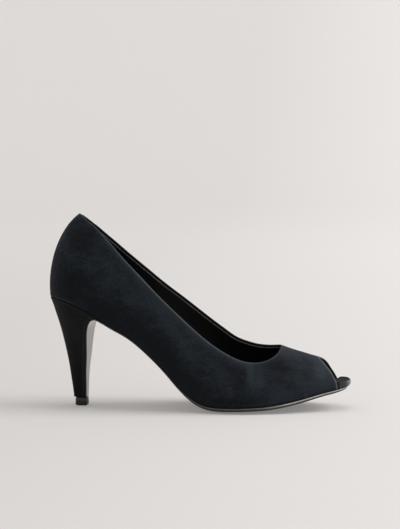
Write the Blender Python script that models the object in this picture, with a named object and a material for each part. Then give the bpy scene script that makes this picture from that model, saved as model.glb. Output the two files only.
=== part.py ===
"""Peep toe pump, right shoe, on a high tapered heel.

All tables are in millimetres in the shoe's own frame: +X to the toe, +Z up, -Y the outer side.
Z is zero on the ground, and X and Y are zero under the heel tip.
The shape of the last is one function, last_point, and every piece is worked out from it.
"""
import math

import bmesh
import bpy
import numpy as np

MM = 0.001
GAP = 0.4            # air, measured upright, between pieces that touch in the real shoe
WALL = 1.8           # leather upper with its lining
BOARD_MARGIN = 0.45  # air between the insole's edge and the inside of the upper

# The line of stations turns round the heel and round the toe
HEEL_TURN_X = 6.0
HEEL_TURN_R = 28.0
TOE_TURN_X = 180.0
TOE_TURN_R = 17.0
BACK = HEEL_TURN_X - HEEL_TURN_R * math.pi / 2
TIP = TOE_TURN_X + TOE_TURN_R * math.pi / 2
RIDGE_FALL = 0.27    # slope of the ridge where it runs on over the toe

# Sections of the last, a row for each station from the back seam to the toe tip.
# out and in: half width at the feather edge on the outer and the inner side.
# ridge: height of the top line. spine: sideways place of the centre.
# swell_out and swell_in: how far the side bulges. rise and full: shape of the side and of the top.
SECTION_COLUMNS = ("s", "out", "in", "ridge", "spine", "swell_out", "swell_in", "rise", "full")
SECTIONS = (
    (BACK, 29.6, 29.6, 144.0, 0.0, 3.5, 3.5, 0.56, 0.44),
    (-17.0, 27.3, 27.3, 144.0, 0.0, 4.0, 4.0, 0.55, 0.50),
    (6.0, 26.2, 25.6, 144.0, 0.0, 5.0, 5.5, 0.53, 0.58),
    (20.0, 25.0, 23.5, 142.0, 0.0, 6.5, 8.0, 0.51, 0.62),
    (38.0, 23.5, 21.0, 137.0, 0.0, 8.0, 10.5, 0.48, 0.64),
    (56.0, 24.5, 20.5, 130.0, 0.5, 8.8, 12.0, 0.45, 0.64),
    (74.0, 28.0, 23.5, 116.0, 1.5, 8.8, 12.0, 0.42, 0.62),
    (92.0, 33.2, 28.5, 93.0, 3.0, 7.6, 9.5, 0.40, 0.60),
    (110.0, 37.8, 33.2, 70.0, 4.5, 5.2, 6.0, 0.40, 0.59),
    (128.0, 37.6, 34.0, 54.5, 5.5, 3.6, 4.2, 0.42, 0.60),
    (146.0, 34.2, 31.8, 45.3, 6.5, 3.0, 3.2, 0.45, 0.62),
    (163.0, 28.5, 27.5, 39.9, 7.0, 2.5, 2.5, 0.48, 0.64),
    (180.0, 21.0, 20.6, 35.9, 7.0, 1.5, 1.5, 0.50, 0.66),
    (TIP, 16.4, 16.4, 35.9, 7.0, 1.0, 1.0, 0.50, 0.66),
)

# Bottom of the upper and the thickness of what lies there, a row for each station.
# feather: height of the upper's lower edge. sag: how much lower the middle of the last is.
# sole: thickness of the outsole. step: how far its edge stands out past the feather edge.
# board: thickness of the insole.
BOTTOM_COLUMNS = ("s", "feather", "sag", "sole", "step", "board")
BOTTOMS = (
    (BACK, 80.4, 0.5, 1.1, -1.4, 2.6),
    (-22.0, 80.0, 0.5, 1.1, -1.4, 2.6),
    (-10.0, 78.2, 0.5, 1.1, -1.4, 2.6),
    (3.0, 73.5, 0.5, 1.1, -1.4, 2.6),
    (14.0, 67.2, 0.5, 1.1, -1.4, 2.6),
    (20.0, 63.0, 0.5, 1.1, -1.3, 2.6),
    (27.0, 58.8, 0.5, 1.1, -1.2, 2.6),
    (34.5, 54.6, 0.6, 1.1, -1.2, 2.6),
    (42.0, 49.2, 0.7, 1.1, -1.2, 2.6),
    (49.0, 43.2, 0.8, 1.1, -1.1, 2.6),
    (56.5, 36.2, 0.9, 1.1, -1.0, 2.6),
    (64.0, 28.7, 1.2, 1.2, -0.8, 2.6),
    (71.7, 20.3, 1.4, 1.4, -0.5, 2.7),
    (79.4, 12.9, 1.8, 1.6, -0.2, 2.8),
    (87.0, 7.8, 2.0, 1.9, 0.0, 2.9),
    (94.3, 5.1, 2.1, 2.1, 0.2, 3.0),
    (104.0, 4.2, 2.2, 2.3, 0.3, 3.0),
    (116.0, 4.3, 2.2, 2.3, 0.4, 3.0),
    (128.0, 4.7, 2.2, 2.3, 0.4, 3.1),
    (140.0, 5.5, 2.0, 2.3, 0.4, 3.2),
    (152.0, 7.5, 1.7, 2.3, 0.4, 3.4),
    (164.0, 10.2, 1.2, 2.2, 0.3, 3.6),
    (176.0, 13.3, 0.8, 2.0, 0.1, 3.8),
    (189.0, 16.1, 0.4, 1.7, -0.6, 4.1),
    (TIP, 17.2, 0.3, 1.2, -2.6, 3.6),
)

# Heights of the collar edge, a row for each station on the side
COLLAR_COLUMNS = ("s", "outer", "inner")
COLLAR = (
    (BACK, 141.4, 141.4),
    (-20.0, 141.2, 140.3),
    (-9.0, 140.3, 138.6),
    (0.7, 138.5, 135.6),
    (7.0, 136.0, 132.4),
    (12.0, 132.2, 127.9),
    (20.0, 124.2, 120.8),
    (27.3, 116.4, 114.3),
    (34.8, 108.2, 107.9),
    (46.0, 96.6, 98.6),
    (60.7, 81.6, 86.5),
    (75.3, 68.0, 75.3),
    (90.0, 55.2, 63.6),
    (104.4, 44.8, 52.8),
)
# Where the collar edge runs across the vamp: stations and half widths from the spine
THROAT_COLUMNS = ("s_out", "half_out", "s_in", "half_in")
THROAT = (
    (111.5, 32.1, 111.5, 24.9),
    (118.7, 32.0, 118.7, 23.8),
    (125.7, 30.9, 126.0, 21.9),
    (132.7, 28.6, 133.0, 18.7),
    (139.4, 24.2, 139.2, 14.0),
    (143.2, 19.2, 143.2, 8.7),
    (145.3, 12.0, 145.3, 4.0),
    (146.0, 0.0, 146.0, 0.0),
)
# The peep opening: stations of its edge, a row for each share of the way up from the feather edge
PEEP_COLUMNS = ("up", "outer", "inner")
PEEP = (
    (0.0, 187.5, 185.9),
    (0.25, 185.4, 182.8),
    (0.5, 181.6, 179.1),
    (0.75, 177.0, 175.8),
    (1.0, 173.8, 173.8),
)

# The heel, a row for each level from its tip to the seam.
# x_front and z_front: the glossy breast. x_back and z_back: the back. half: half width.
# square: how square the back of the section is, 2 for an ellipse.
HEEL_COLUMNS = ("x_front", "z_front", "x_back", "z_back", "half", "square")
HEEL = (
    (3.4, 6.3, -6.5, 6.3, 5.4, 2.9),
    (3.5, 12.0, -7.2, 12.5, 5.9, 2.8),
    (3.6, 19.3, -8.3, 20.0, 6.9, 2.7),
    (4.0, 28.3, -9.9, 31.0, 8.9, 2.6),
    (4.8, 37.4, -12.1, 42.0, 11.6, 2.4),
    (5.3, 46.4, -14.5, 52.5, 14.9, 2.3),
    (6.0, 54.6, -17.1, 62.0, 18.4, 2.2),
    (7.2, 60.1, -19.3, 68.5, 20.9, 2.1),
    (9.0, 63.4, -21.1, 73.9, 23.0, 2.0),
    (11.2, 65.0, -22.5, 77.6, 24.6, 2.0),
    (13.8, 65.2, -23.4, 80.1, 25.8, 2.0),
)
FLAP = 1.0           # thickness of the sole where it runs down the breast
FLAP_INSET = 0.5     # its edge stands back from the side of the heel
FLAP_JOIN_S = 20.0   # where the flap becomes the sole

TIP_FRONT = 3.5
TIP_BACK = -5.5
TIP_HALF = 5.2
TIP_HEIGHT = 5.9
TIP_CHAMFER = 0.4

COLLAR_COLUMNS_COUNT = 36
VAMP_COLUMNS_COUNT = 8
UPPER_ROWS = 9


def clamped(at, xs, ys):
    """Cubic spline through the rows, level at both ends."""
    x = np.asarray(xs, float)
    y = np.asarray(ys, float)
    n = len(x)
    h = np.diff(x)
    rise = np.diff(y) / h
    system = np.zeros((n, n))
    right = np.zeros(n)
    system[0, 0:2] = 2 * h[0], h[0]
    right[0] = 6 * rise[0]
    system[-1, -2:] = h[-1], 2 * h[-1]
    right[-1] = -6 * rise[-1]
    for i in range(1, n - 1):
        system[i, i - 1:i + 2] = h[i - 1], 2 * (h[i - 1] + h[i]), h[i]
        right[i] = 6 * (rise[i] - rise[i - 1])
    bend = np.linalg.solve(system, right)
    at = np.clip(np.asarray(at, float), x[0], x[-1])
    i = np.clip(np.searchsorted(x, at) - 1, 0, n - 2)
    before = at - x[i]
    after = x[i + 1] - at
    width = h[i]
    value = (bend[i] * after ** 3 + bend[i + 1] * before ** 3) / (6 * width)
    value = value + (y[i] / width - bend[i] * width / 6) * after
    return value + (y[i + 1] / width - bend[i + 1] * width / 6) * before


def column(rows, names, name):
    return np.array([row[names.index(name)] for row in rows], float)


def section(name, s):
    return clamped(s, column(SECTIONS, SECTION_COLUMNS, "s"), column(SECTIONS, SECTION_COLUMNS, name))


def under(name, s):
    return clamped(s, column(BOTTOMS, BOTTOM_COLUMNS, "s"), column(BOTTOMS, BOTTOM_COLUMNS, name))


def axis(s, side):
    """Centre and outward direction of station s. side is -1 outer, +1 inner."""
    s = np.asarray(s, float)
    middle = np.clip(s, HEEL_TURN_X, TOE_TURN_X)
    back = np.clip(HEEL_TURN_X - s, 0, None) / HEEL_TURN_R
    front = np.clip(s - TOE_TURN_X, 0, None) / TOE_TURN_R
    across = np.sin(front) - np.sin(back)
    return middle, section("spine", middle), across, side * np.cos(front + back), back, front


def half_width(s, side):
    return section("out" if side < 0 else "in", s)


def side_profile(s, t, side):
    """Distance from the spine and height, t from the feather edge (0) to the ridge (1)."""
    half = half_width(s, side)
    swell = section("swell_out" if side < 0 else "swell_in", s)
    foot = under("feather", s)
    middle, _, _, _, _, front = axis(s, side)
    top = section("ridge", middle)
    full = section("full", s) * half
    shoulder = top - RIDGE_FALL * full * np.sin(front)
    a = (1 - t) ** 3
    b = 3 * (1 - t) ** 2 * t
    c = 3 * (1 - t) * t * t
    out = a * half + b * (half + swell) + c * full
    up = a * foot + b * (foot + section("rise", s) * (top - foot)) + c * shoulder + t ** 3 * top
    return out, up


def last_point(s, t, side):
    """The outer surface of the upper: the last with the upper on it."""
    s, t = np.broadcast_arrays(np.asarray(s, float), np.asarray(t, float))
    out, up = side_profile(s, t, side)
    x, y, nx, ny, _, _ = axis(s, side)
    return np.stack([x + nx * out, y + ny * out, up], -1)


def last_normal(s, t, side):
    """Outward normal of the last, from steps along and up."""
    step_s = 0.05
    step_t = 0.0005
    low = np.clip(t - step_t, 0, 1)
    high = np.clip(t + step_t, 0, 1)
    along = last_point(np.clip(s + step_s, BACK, TIP), t, side) - last_point(np.clip(s - step_s, BACK, TIP), t, side)
    up = last_point(s, high, side) - last_point(s, low, side)
    normal = np.cross(along, up) * -side
    normal[..., 1] = np.where(t > 1 - 1e-6, 0.0, normal[..., 1])
    normal[..., 1] = np.where(s < BACK + 1e-6, 0.0, normal[..., 1])
    return normal / np.linalg.norm(normal, axis=-1, keepdims=True)


def seat(s, v, side, out=None):
    """The bottom of the last. v runs from the spine (0) to the feather edge (1)."""
    s, v = np.broadcast_arrays(np.asarray(s, float), np.asarray(v, float))
    x, y, nx, ny, back, front = axis(s, side)
    reach = half_width(s, side) * v if out is None else out
    centre = under("feather", x) - under("sag", x)
    edge = under("feather", s)
    bend = 2 - np.sin(back) - np.sin(front)
    height = centre + (edge - centre) * np.clip(v, 0, None) ** bend
    return np.stack([x + nx * reach, y + ny * reach, height], -1)


def solve_share(s, wanted, side, which):
    """Share t at which the side is at a wanted height (which=1) or half width (which=0)."""
    s = np.asarray(s, float)
    low = np.full(s.shape, 0.05 if which else 0.3)
    high = np.ones(s.shape)
    for _ in range(40):
        middle = (low + high) / 2
        value = side_profile(s, middle, side)[which]
        below = value < wanted if which else value > wanted
        low = np.where(below, middle, low)
        high = np.where(below, high, middle)
    return (low + high) / 2


def collar_curve(side):
    """Collar edge as stations and shares, evenly spaced from the back seam to the throat."""
    s = column(COLLAR, COLLAR_COLUMNS, "s")
    t = solve_share(s, column(COLLAR, COLLAR_COLUMNS, "outer" if side < 0 else "inner"), side, 1)
    ts = column(THROAT, THROAT_COLUMNS, "s_out" if side < 0 else "s_in")
    tt = solve_share(ts, column(THROAT, THROAT_COLUMNS, "half_out" if side < 0 else "half_in"), side, 0)
    tt[-1] = 1.0
    # Reflected past the throat, so that the edge crosses the ridge square to it
    s = np.concatenate([s, ts, ts[-2:-5:-1]])
    t = np.concatenate([t, tt, 2 - tt[-2:-5:-1]])
    end = len(COLLAR) + len(THROAT) - 1
    place = np.concatenate([[0], np.cumsum(np.hypot(np.diff(s), 45 * np.diff(t)))])
    fine = np.linspace(0, place[end], 600)
    return clamped(fine, place, s), np.clip(clamped(fine, place, t), 0, 1)


def upper_patch(side, collar_columns, vamp_columns, rows):
    """Stations and shares of the upper's grid on one side, from its four edges."""
    s, t = collar_curve(side)
    points = last_point(s, t, side)
    length = np.concatenate([[0], np.cumsum(np.linalg.norm(np.diff(points, axis=0), axis=1))])
    even = np.linspace(0, length[-1], collar_columns + 1)
    top_s = np.interp(even, length, s)
    top_t = np.interp(even, length, t)
    top_s[-1] = THROAT[-1][0]
    top_t[-1] = 1.0
    peep_s = column(PEEP, PEEP_COLUMNS, "outer" if side < 0 else "inner")
    v = np.linspace(0, 1, rows + 1)
    right_s = clamped(v, column(PEEP, PEEP_COLUMNS, "up"), peep_s)
    ridge = np.linspace(THROAT[-1][0], peep_s[-1], vamp_columns + 1)[1:]
    top_s = np.concatenate([top_s, ridge])
    top_t = np.concatenate([top_t, np.ones(vamp_columns)])
    foot_break = THROAT[-1][0] + 2
    low_s = np.concatenate([np.linspace(BACK, foot_break, collar_columns + 1),
                            np.linspace(foot_break, peep_s[0], vamp_columns + 1)[1:]])
    u = np.concatenate([np.linspace(0, 1, collar_columns + 1) * 0.82,
                        np.linspace(0.82, 1, vamp_columns + 1)[1:]])[:, None]
    v = v[None, :]
    left_s = np.full(rows + 1, BACK)[None, :]
    left_t = v * top_t[0]
    s_grid = (1 - v) * low_s[:, None] + v * top_s[:, None] + (1 - u) * left_s + u * right_s[None, :]
    s_grid = s_grid - ((1 - u) * (1 - v) * BACK + (1 - u) * v * BACK
                       + u * (1 - v) * right_s[0] + u * v * right_s[-1])
    t_grid = v * top_t[:, None] + (1 - u) * left_t + u * v - ((1 - u) * v * top_t[0] + u * v)
    return s_grid, t_grid


class Mesh:
    """Points and faces gathered for one solid."""

    def __init__(self):
        self.points = []
        self.faces = []

    def grid(self, points, flip=False):
        rows, across, _ = points.shape
        start = len(self.points)
        self.points.extend(points.reshape(-1, 3).tolist())
        for i in range(rows - 1):
            for j in range(across - 1):
                a = start + i * across + j
                face = (a, a + 1, a + across + 1, a + across)
                self.faces.append(face[::-1] if flip else face)

    def ring(self, points):
        start = len(self.points)
        self.points.extend(np.asarray(points).tolist())
        self.faces.append(tuple(range(start, start + len(points))))


def solid(name, mesh, look):
    """Turns the gathered faces into one closed object in metres."""
    data = bpy.data.meshes.new(name)
    build = bmesh.new()
    made = [build.verts.new(tuple(c * MM for c in point)) for point in mesh.points]
    for face in mesh.faces:
        build.faces.new([made[i] for i in face])
    bmesh.ops.remove_doubles(build, verts=build.verts, dist=2e-6)
    bmesh.ops.dissolve_degenerate(build, edges=build.edges, dist=1e-7)
    bmesh.ops.recalc_face_normals(build, faces=build.faces)
    bmesh.ops.triangulate(build, faces=build.faces, quad_method="SHORT_EDGE")
    bmesh.ops.recalc_face_normals(build, faces=build.faces)
    open_edges = sum(1 for edge in build.edges if len(edge.link_faces) != 2)
    if open_edges:
        raise RuntimeError("%s has %d open edges" % (name, open_edges))
    if build.calc_volume(signed=True) < 0:
        bmesh.ops.reverse_faces(build, faces=build.faces)
    build.to_mesh(data)
    build.free()
    obj = bpy.data.objects.new(name, data)
    bpy.context.scene.collection.objects.link(obj)
    data.materials.append(look)
    print("%-10s %5d triangles" % (name, len(data.polygons)))
    return obj


def material(name, colour, roughness, coat=0.0):
    made = bpy.data.materials.new(name)
    made.use_nodes = True
    shader = made.node_tree.nodes["Principled BSDF"]
    shader.inputs["Base Color"].default_value = (*colour, 1.0)
    shader.inputs["Roughness"].default_value = roughness
    shader.inputs["Coat Weight"].default_value = coat
    return made


def build_upper():
    mesh = Mesh()
    for side in (-1, 1):
        s, t = upper_patch(side, COLLAR_COLUMNS_COUNT, VAMP_COLUMNS_COUNT, UPPER_ROWS)
        outer = last_point(s, t, side)
        inner = outer - WALL * last_normal(s, t, side)
        v = 1 - WALL * 1.04 / half_width(s[:, 0], side)
        inner[:, 0] = seat(s[:, 0], v, side)
        mesh.grid(outer)
        mesh.grid(inner)
        mesh.grid(np.stack([outer[:, 0], inner[:, 0]], 1))
        edge = slice(0, COLLAR_COLUMNS_COUNT + 1)
        mesh.grid(np.stack([outer[edge, -1], inner[edge, -1]], 1))
        mesh.grid(np.stack([outer[-1], inner[-1]], 1))
    return mesh


def insole_reach(s, side):
    """Half width of the insole: inside the upper, then out to the edge where it is bare."""
    foot = PEEP[0][PEEP_COLUMNS.index("outer" if side < 0 else "inner")]
    bare = np.clip((s - foot - 0.4) / 2.0, 0, 1)
    bare = bare * bare * (3 - 2 * bare)
    return half_width(s, side) - (WALL + BOARD_MARGIN) * (1 - bare)


def stations(whole):
    """Stations that the insole, the sole and the heel share, so that their faces run alongside."""
    heel = np.concatenate([np.linspace(BACK, HEEL_TURN_X, 11), np.linspace(HEEL_TURN_X, FLAP_JOIN_S, 4)[1:-1]])
    middle = np.linspace(FLAP_JOIN_S, TOE_TURN_X, 26)
    toe = np.linspace(TOE_TURN_X, TIP, 13)[1:]
    return np.concatenate([heel, middle, toe]) if whole else np.concatenate([middle, toe])


def build_insole():
    mesh = Mesh()
    s = stations(True)
    shares = np.array([0.0, 0.35, 0.7, 0.93])
    for side in (-1, 1):
        reach = insole_reach(s, side)
        thick = under("board", s)
        centre_thick = under("board", np.clip(s, HEEL_TURN_X, TOE_TURN_X))
        profile = []
        edge = (reach / half_width(s, side))
        for share in shares:
            profile.append(seat(s, share * edge, side))
        round_off = np.minimum(1.5, thick * 0.45)
        low = seat(s, edge, side)
        for inset, height in ((0.35, 0.12), (0.0, 0.4), (0.0, 0.65), (0.3, 0.9)):
            point = seat(s, edge, side, out=reach - inset * round_off)
            point[:, 2] = low[:, 2] + height * thick
            profile.append(point)
        for share in shares[::-1]:
            point = seat(s, share * edge, side)
            point[:, 2] += centre_thick + (thick - centre_thick) * share
            profile.append(point)
        mesh.grid(np.stack(profile, 1))
    return mesh


def heel_level(name, share):
    place = np.linspace(0, 1, len(HEEL))
    return clamped(share, place, column(HEEL, HEEL_COLUMNS, name))


def breast(share, depth):
    """Point of the breast line at a level, sunk by depth towards the heel."""
    step = 0.004
    low = np.clip(share - step, 0, 1)
    high = np.clip(share + step, 0, 1)
    run = np.stack([heel_level("x_front", high) - heel_level("x_front", low),
                    heel_level("z_front", high) - heel_level("z_front", low)], -1)
    run = run / np.linalg.norm(run, axis=-1, keepdims=True)
    x = heel_level("x_front", share) - run[..., 1] * depth
    z = heel_level("z_front", share) + run[..., 0] * depth
    return x, z


def build_outsole():
    mesh = Mesh()
    s = stations(False)
    shares = np.array([0.0, 0.25, 0.5, 0.75, 0.94])
    levels = np.array([1.0, 0.95, 0.9, 0.85, 0.8, 0.75, 0.7, 0.62, 0.54, 0.45, 0.35, 0.24, 0.12, 0.0])
    for side in (-1, 1):
        reach = half_width(s, side) + under("step", s)
        edge = reach / half_width(s, side)
        thick = under("sole", s)
        centre_thick = under("sole", np.clip(s, HEEL_TURN_X, TOE_TURN_X))
        profile = []
        for share in shares:
            point = seat(s, share * edge, side)
            point[:, 2] -= GAP + centre_thick + (thick - centre_thick) * share
            point[:, 2] = np.maximum(point[:, 2], 0.0)
            profile.append(point)
        low = seat(s, edge, side)
        for inset, height in ((0.25, 1.0), (0.0, 0.8), (0.0, 0.2), (0.12, 0.0)):
            point = seat(s, edge, side, out=reach - inset)
            point[:, 2] = np.maximum(low[:, 2] - GAP - height * thick, 0.0)
            profile.append(point)
        for share in shares[::-1]:
            point = seat(s, share * edge, side)
            point[:, 2] -= GAP
            profile.append(point)
        body = np.stack(profile, 1)
        # The flap down the breast has the same profile, turned with the breast line
        half = heel_level("half", levels) - FLAP_INSET
        outer_x, outer_z = breast(levels, 0.0)
        inner_x, inner_z = breast(levels, FLAP)
        widths = np.concatenate([shares, [1.0, 1.0, 1.0, 1.0], shares[::-1]])
        trim = np.array([0] * 5 + [0.2, 0.0, 0.0, 0.12] + [0] * 5)
        depth = np.array([0.0] * 5 + [0.0, 0.2, 0.8, 1.0] + [1.0] * 5)
        x = outer_x[:, None] + (inner_x - outer_x)[:, None] * depth
        z = outer_z[:, None] + (inner_z - outer_z)[:, None] * depth
        y = side * (half[:, None] * widths - trim)
        flap = np.stack([x, y, z], -1)
        mesh.grid(np.concatenate([flap[::-1], body]))
        mesh.ring(np.concatenate([flap[-1], flap[-1][:1]])[:-1])
    return mesh


def build_heel():
    mesh = Mesh()
    levels = np.concatenate([np.linspace(0, 0.6, 8), np.linspace(0.66, 1, 8)])
    shares = np.array([0.0, 0.4, 0.75, 0.95])
    depth = FLAP + GAP
    top_x, _ = breast(np.array([1.0]), depth)
    front_s = float(top_x[0])
    around = np.concatenate([np.linspace(front_s, HEEL_TURN_X, 4)[:-1], np.linspace(HEEL_TURN_X, BACK, 11)])
    for side in (-1, 1):
        front_x, front_z = breast(levels, depth)
        back_x = heel_level("x_back", levels)
        back_z = heel_level("z_back", levels)
        half = heel_level("half", levels)
        power = 2 / heel_level("square", levels)
        turn_x = front_x + (back_x - front_x) * (0.12 + 0.09 * levels)
        rows = []
        for k in range(len(levels)):
            ring = []
            for share in shares:
                ring.append((front_x[k], side * half[k] * share, front_z[k]))
            for s in around:
                if s >= HEEL_TURN_X:
                    x = turn_x[k] + (front_x[k] - turn_x[k]) * (s - HEEL_TURN_X) / (front_s - HEEL_TURN_X)
                    y = half[k]
                else:
                    angle = (HEEL_TURN_X - s) / HEEL_TURN_R
                    x = turn_x[k] + (back_x[k] - turn_x[k]) * math.sin(angle) ** power[k]
                    y = half[k] * max(math.cos(angle), 0.0) ** power[k]
                z = front_z[k] + (back_z[k] - front_z[k]) * (front_x[k] - x) / (front_x[k] - back_x[k])
                ring.append((x, side * y, z))
            rows.append(np.array(ring))
        # The top level lies on the bottom of the last
        top = np.concatenate([seat(np.full(4, front_s), shares, side), seat(around, 1.0, side)])
        top[:, 2] -= GAP
        fit = np.clip((levels - 0.5) / 0.5, 0, 1) ** 3
        linear_top = rows[-1]
        rows = [row + (top - linear_top) * fit[k] for k, row in enumerate(rows)]
        mesh.grid(np.stack(rows))
        cap = []
        for s in around:
            line = seat(np.full(5, s), np.append(shares, 1.0), side)
            line[:, 2] -= GAP
            cap.append(line)
        mesh.grid(np.stack(cap))
        if side < 0:
            first = rows[0]
        else:
            mesh.ring(np.concatenate([first, rows[0][::-1][1:-1]]))
    return mesh


def build_tip():
    mesh = Mesh()
    angle = np.linspace(0, math.pi, 15)
    turn = TIP_FRONT - 3.0
    rings = []
    for height, inset in ((0.0, TIP_CHAMFER), (TIP_CHAMFER, 0.0), (TIP_HEIGHT, 0.15)):
        ring = []
        for side in (1, -1):
            ring.append((TIP_FRONT - inset, side * (TIP_HALF - 0.8 - inset), height))
            ring.append((TIP_FRONT - 0.3 - inset, side * (TIP_HALF - inset), height))
        front = [ring[2], ring[3]]
        arc = []
        for a in angle:
            x = turn + (TIP_BACK + inset - turn) * math.sin(a) ** 0.8
            y = -(TIP_HALF - inset) * math.copysign(abs(math.cos(a)) ** 0.8, math.cos(a))
            arc.append((x, y, height))
        rings.append(np.array(front + arc + [ring[1], ring[0]]))
    closed = [np.concatenate([ring, ring[:1]]) for ring in rings]
    mesh.grid(np.stack(closed))
    mesh.ring(rings[0])
    mesh.ring(rings[-1])
    return mesh


def main():
    for obj in list(bpy.data.objects):
        bpy.data.objects.remove(obj, do_unlink=True)
    suede = material("navy_suede", (0.012, 0.017, 0.024), 0.85)
    heel_suede = material("heel_suede", (0.012, 0.012, 0.013), 0.85)
    board = material("insole_suede", (0.016, 0.017, 0.020), 0.8)
    gloss = material("sole_gloss", (0.030, 0.026, 0.024), 0.12, coat=1.0)
    rubber = material("tip_rubber", (0.05, 0.05, 0.055), 0.5)
    solid("upper", build_upper(), suede)
    solid("insole", build_insole(), board)
    solid("outsole", build_outsole(), gloss)
    solid("heel", build_heel(), heel_suede)
    solid("heel_tip", build_tip(), rubber)


main()
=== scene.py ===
"""Peep toe pump, right shoe, on a high tapered heel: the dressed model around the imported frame.

Tables are in millimetres in the shoe's own frame: +X to the toe, +Z up, -Y the outer side.
Z is zero on the ground, and X and Y are zero under the heel tip. Meshes are made in metres.
"""
import math

import bmesh
import bpy
import numpy as np
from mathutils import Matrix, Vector


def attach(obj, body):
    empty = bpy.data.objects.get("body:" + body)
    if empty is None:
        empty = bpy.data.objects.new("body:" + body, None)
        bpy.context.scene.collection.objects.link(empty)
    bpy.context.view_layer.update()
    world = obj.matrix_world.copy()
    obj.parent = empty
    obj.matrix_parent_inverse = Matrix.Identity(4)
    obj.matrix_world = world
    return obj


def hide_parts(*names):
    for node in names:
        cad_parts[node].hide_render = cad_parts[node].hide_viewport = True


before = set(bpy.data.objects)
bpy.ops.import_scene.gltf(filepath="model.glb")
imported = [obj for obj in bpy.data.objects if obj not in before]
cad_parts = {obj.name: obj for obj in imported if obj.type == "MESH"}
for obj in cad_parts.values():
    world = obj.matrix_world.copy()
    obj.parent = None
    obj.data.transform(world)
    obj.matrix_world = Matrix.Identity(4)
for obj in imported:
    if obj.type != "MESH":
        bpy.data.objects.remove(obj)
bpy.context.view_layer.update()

bl_info = {
    "name": "Peep Toe Pump",
    "version": (1, 0, 0),
    "blender": (4, 5, 0),
    "location": "3D View > Sidebar > Pump",
    "description": "Builds a suede peep toe pump with its lining, insole, sole, heel and tip",
    "category": "Add Mesh",
}

MM = 0.001
OUTER, INNER = -1, 1  # the two sides of the shoe

# ---------------------------------------------------------------- the last

GAP = 0.4            # air between the upper and the sole
WALL = 1.8           # suede upper with its lining
HEEL_TURN_X = 6.0
HEEL_TURN_R = 28.0
TOE_TURN_X = 180.0
TOE_TURN_R = 17.0
BACK = HEEL_TURN_X - HEEL_TURN_R * math.pi / 2
TIP = TOE_TURN_X + TOE_TURN_R * math.pi / 2
RIDGE_FALL = 0.27    # slope of the ridge where it runs on over the toe

SECTIONS = {
    "s": (BACK, -17, 6, 20, 38, 56, 74, 92, 110, 128, 146, 163, 180, TIP),
    "out": (29.6, 27.3, 26.2, 25, 23.5, 24.5, 28, 33.2, 37.8, 37.6, 34.2, 28.5, 21, 16.4),
    "in": (29.6, 27.3, 25.6, 23.5, 21, 20.5, 23.5, 28.5, 33.2, 34, 31.8, 27.5, 20.6, 16.4),
    "ridge": (144, 144, 144, 142, 137, 130, 116, 93, 70, 54.5, 45.3, 39.9, 35.9, 35.9),
    "spine": (0, 0, 0, 0, 0, 0.5, 1.5, 3, 4.5, 5.5, 6.5, 7, 7, 7),
    "swell_out": (3.5, 4, 5, 6.5, 8, 8.8, 8.8, 7.6, 5.2, 3.6, 3, 2.5, 1.5, 1),
    "swell_in": (3.5, 4, 5.5, 8, 10.5, 12, 12, 9.5, 6, 4.2, 3.2, 2.5, 1.5, 1),
    "rise": (0.56, 0.55, 0.53, 0.51, 0.48, 0.45, 0.42, 0.4, 0.4, 0.42, 0.45, 0.48, 0.5, 0.5),
    "full": (0.44, 0.5, 0.58, 0.62, 0.64, 0.64, 0.62, 0.6, 0.59, 0.6, 0.62, 0.64, 0.66, 0.66),
}
# feather: lower edge of the upper. sag: how much lower the middle of the last is.
# sole, board: thickness of the outsole and the insole. step: how far the sole's edge stands out.
BOTTOMS = {
    "s": (BACK, -22, -10, 3, 14, 20, 27, 34.5, 42, 49, 56.5, 64, 71.7, 79.4, 87, 94.3, 104, 116,
          128, 140, 152, 164, 176, 189, TIP),
    "feather": (80.4, 80, 78.2, 73.5, 67.2, 63, 58.8, 54.6, 49.2, 43.2, 36.2, 28.7, 20.3, 12.9,
                7.8, 5.1, 4.2, 4.3, 4.7, 5.5, 7.5, 10.2, 13.3, 16.1, 17.2),
    "sag": (0.5, 0.5, 0.5, 0.5, 0.5, 0.5, 0.5, 0.6, 0.7, 0.8, 0.9, 1.2, 1.4, 1.8, 2, 2.1, 2.2,
            2.2, 2.2, 2, 1.7, 1.2, 0.8, 0.4, 0.3),
    "sole": (1.1, 1.1, 1.1, 1.1, 1.1, 1.1, 1.1, 1.1, 1.1, 1.1, 1.1, 1.2, 1.4, 1.6, 1.9, 2.1,
             2.3, 2.3, 2.3, 2.3, 2.3, 2.2, 2, 1.7, 1.2),
    "step": (-1.4, -1.4, -1.4, -1.4, -1.4, -1.3, -1.2, -1.2, -1.2, -1.1, -1, -0.8, -0.5, -0.2,
             0, 0.2, 0.3, 0.4, 0.4, 0.4, 0.4, 0.3, 0.1, -0.6, -2.6),
    "board": (2.6, 2.6, 2.6, 2.6, 2.6, 2.6, 2.6, 2.6, 2.6, 2.6, 2.6, 2.6, 2.7, 2.8, 2.9, 3, 3,
              3, 3.1, 3.2, 3.4, 3.6, 3.8, 4.1, 3.6),
}
# Heights of the collar edge along both sides
COLLAR_S = (BACK, -20, -9, 0.7, 7, 12, 20, 27.3, 34.8, 46, 60.7, 75.3, 90, 104.4)
COLLAR_UP = {
    OUTER: (141.4, 141.2, 140.4, 138.7, 136.3, 132.7, 124.9, 117.2, 109, 97.5, 82.5, 68.9, 56,
            45.6),
    INNER: (141.4, 140.3, 138.7, 135.8, 132.7, 128.3, 121.3, 114.9, 108.5, 99.2, 87, 75.8, 64.1,
            53.2),
}
# The throat, where the collar edge runs across the vamp: stations and half widths
THROAT_S = {
    OUTER: (111.5, 118.7, 125.7, 132.7, 139.4, 143.2, 145.3, 146),
    INNER: (111.5, 118.7, 126, 133, 139.2, 143.2, 145.3, 146),
}
THROAT_HALF = {
    OUTER: (31.6, 31.3, 30, 27.5, 23, 18, 11.2, 0),
    INNER: (24.9, 23.8, 21.9, 18.7, 14, 8.7, 4, 0),
}
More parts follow.
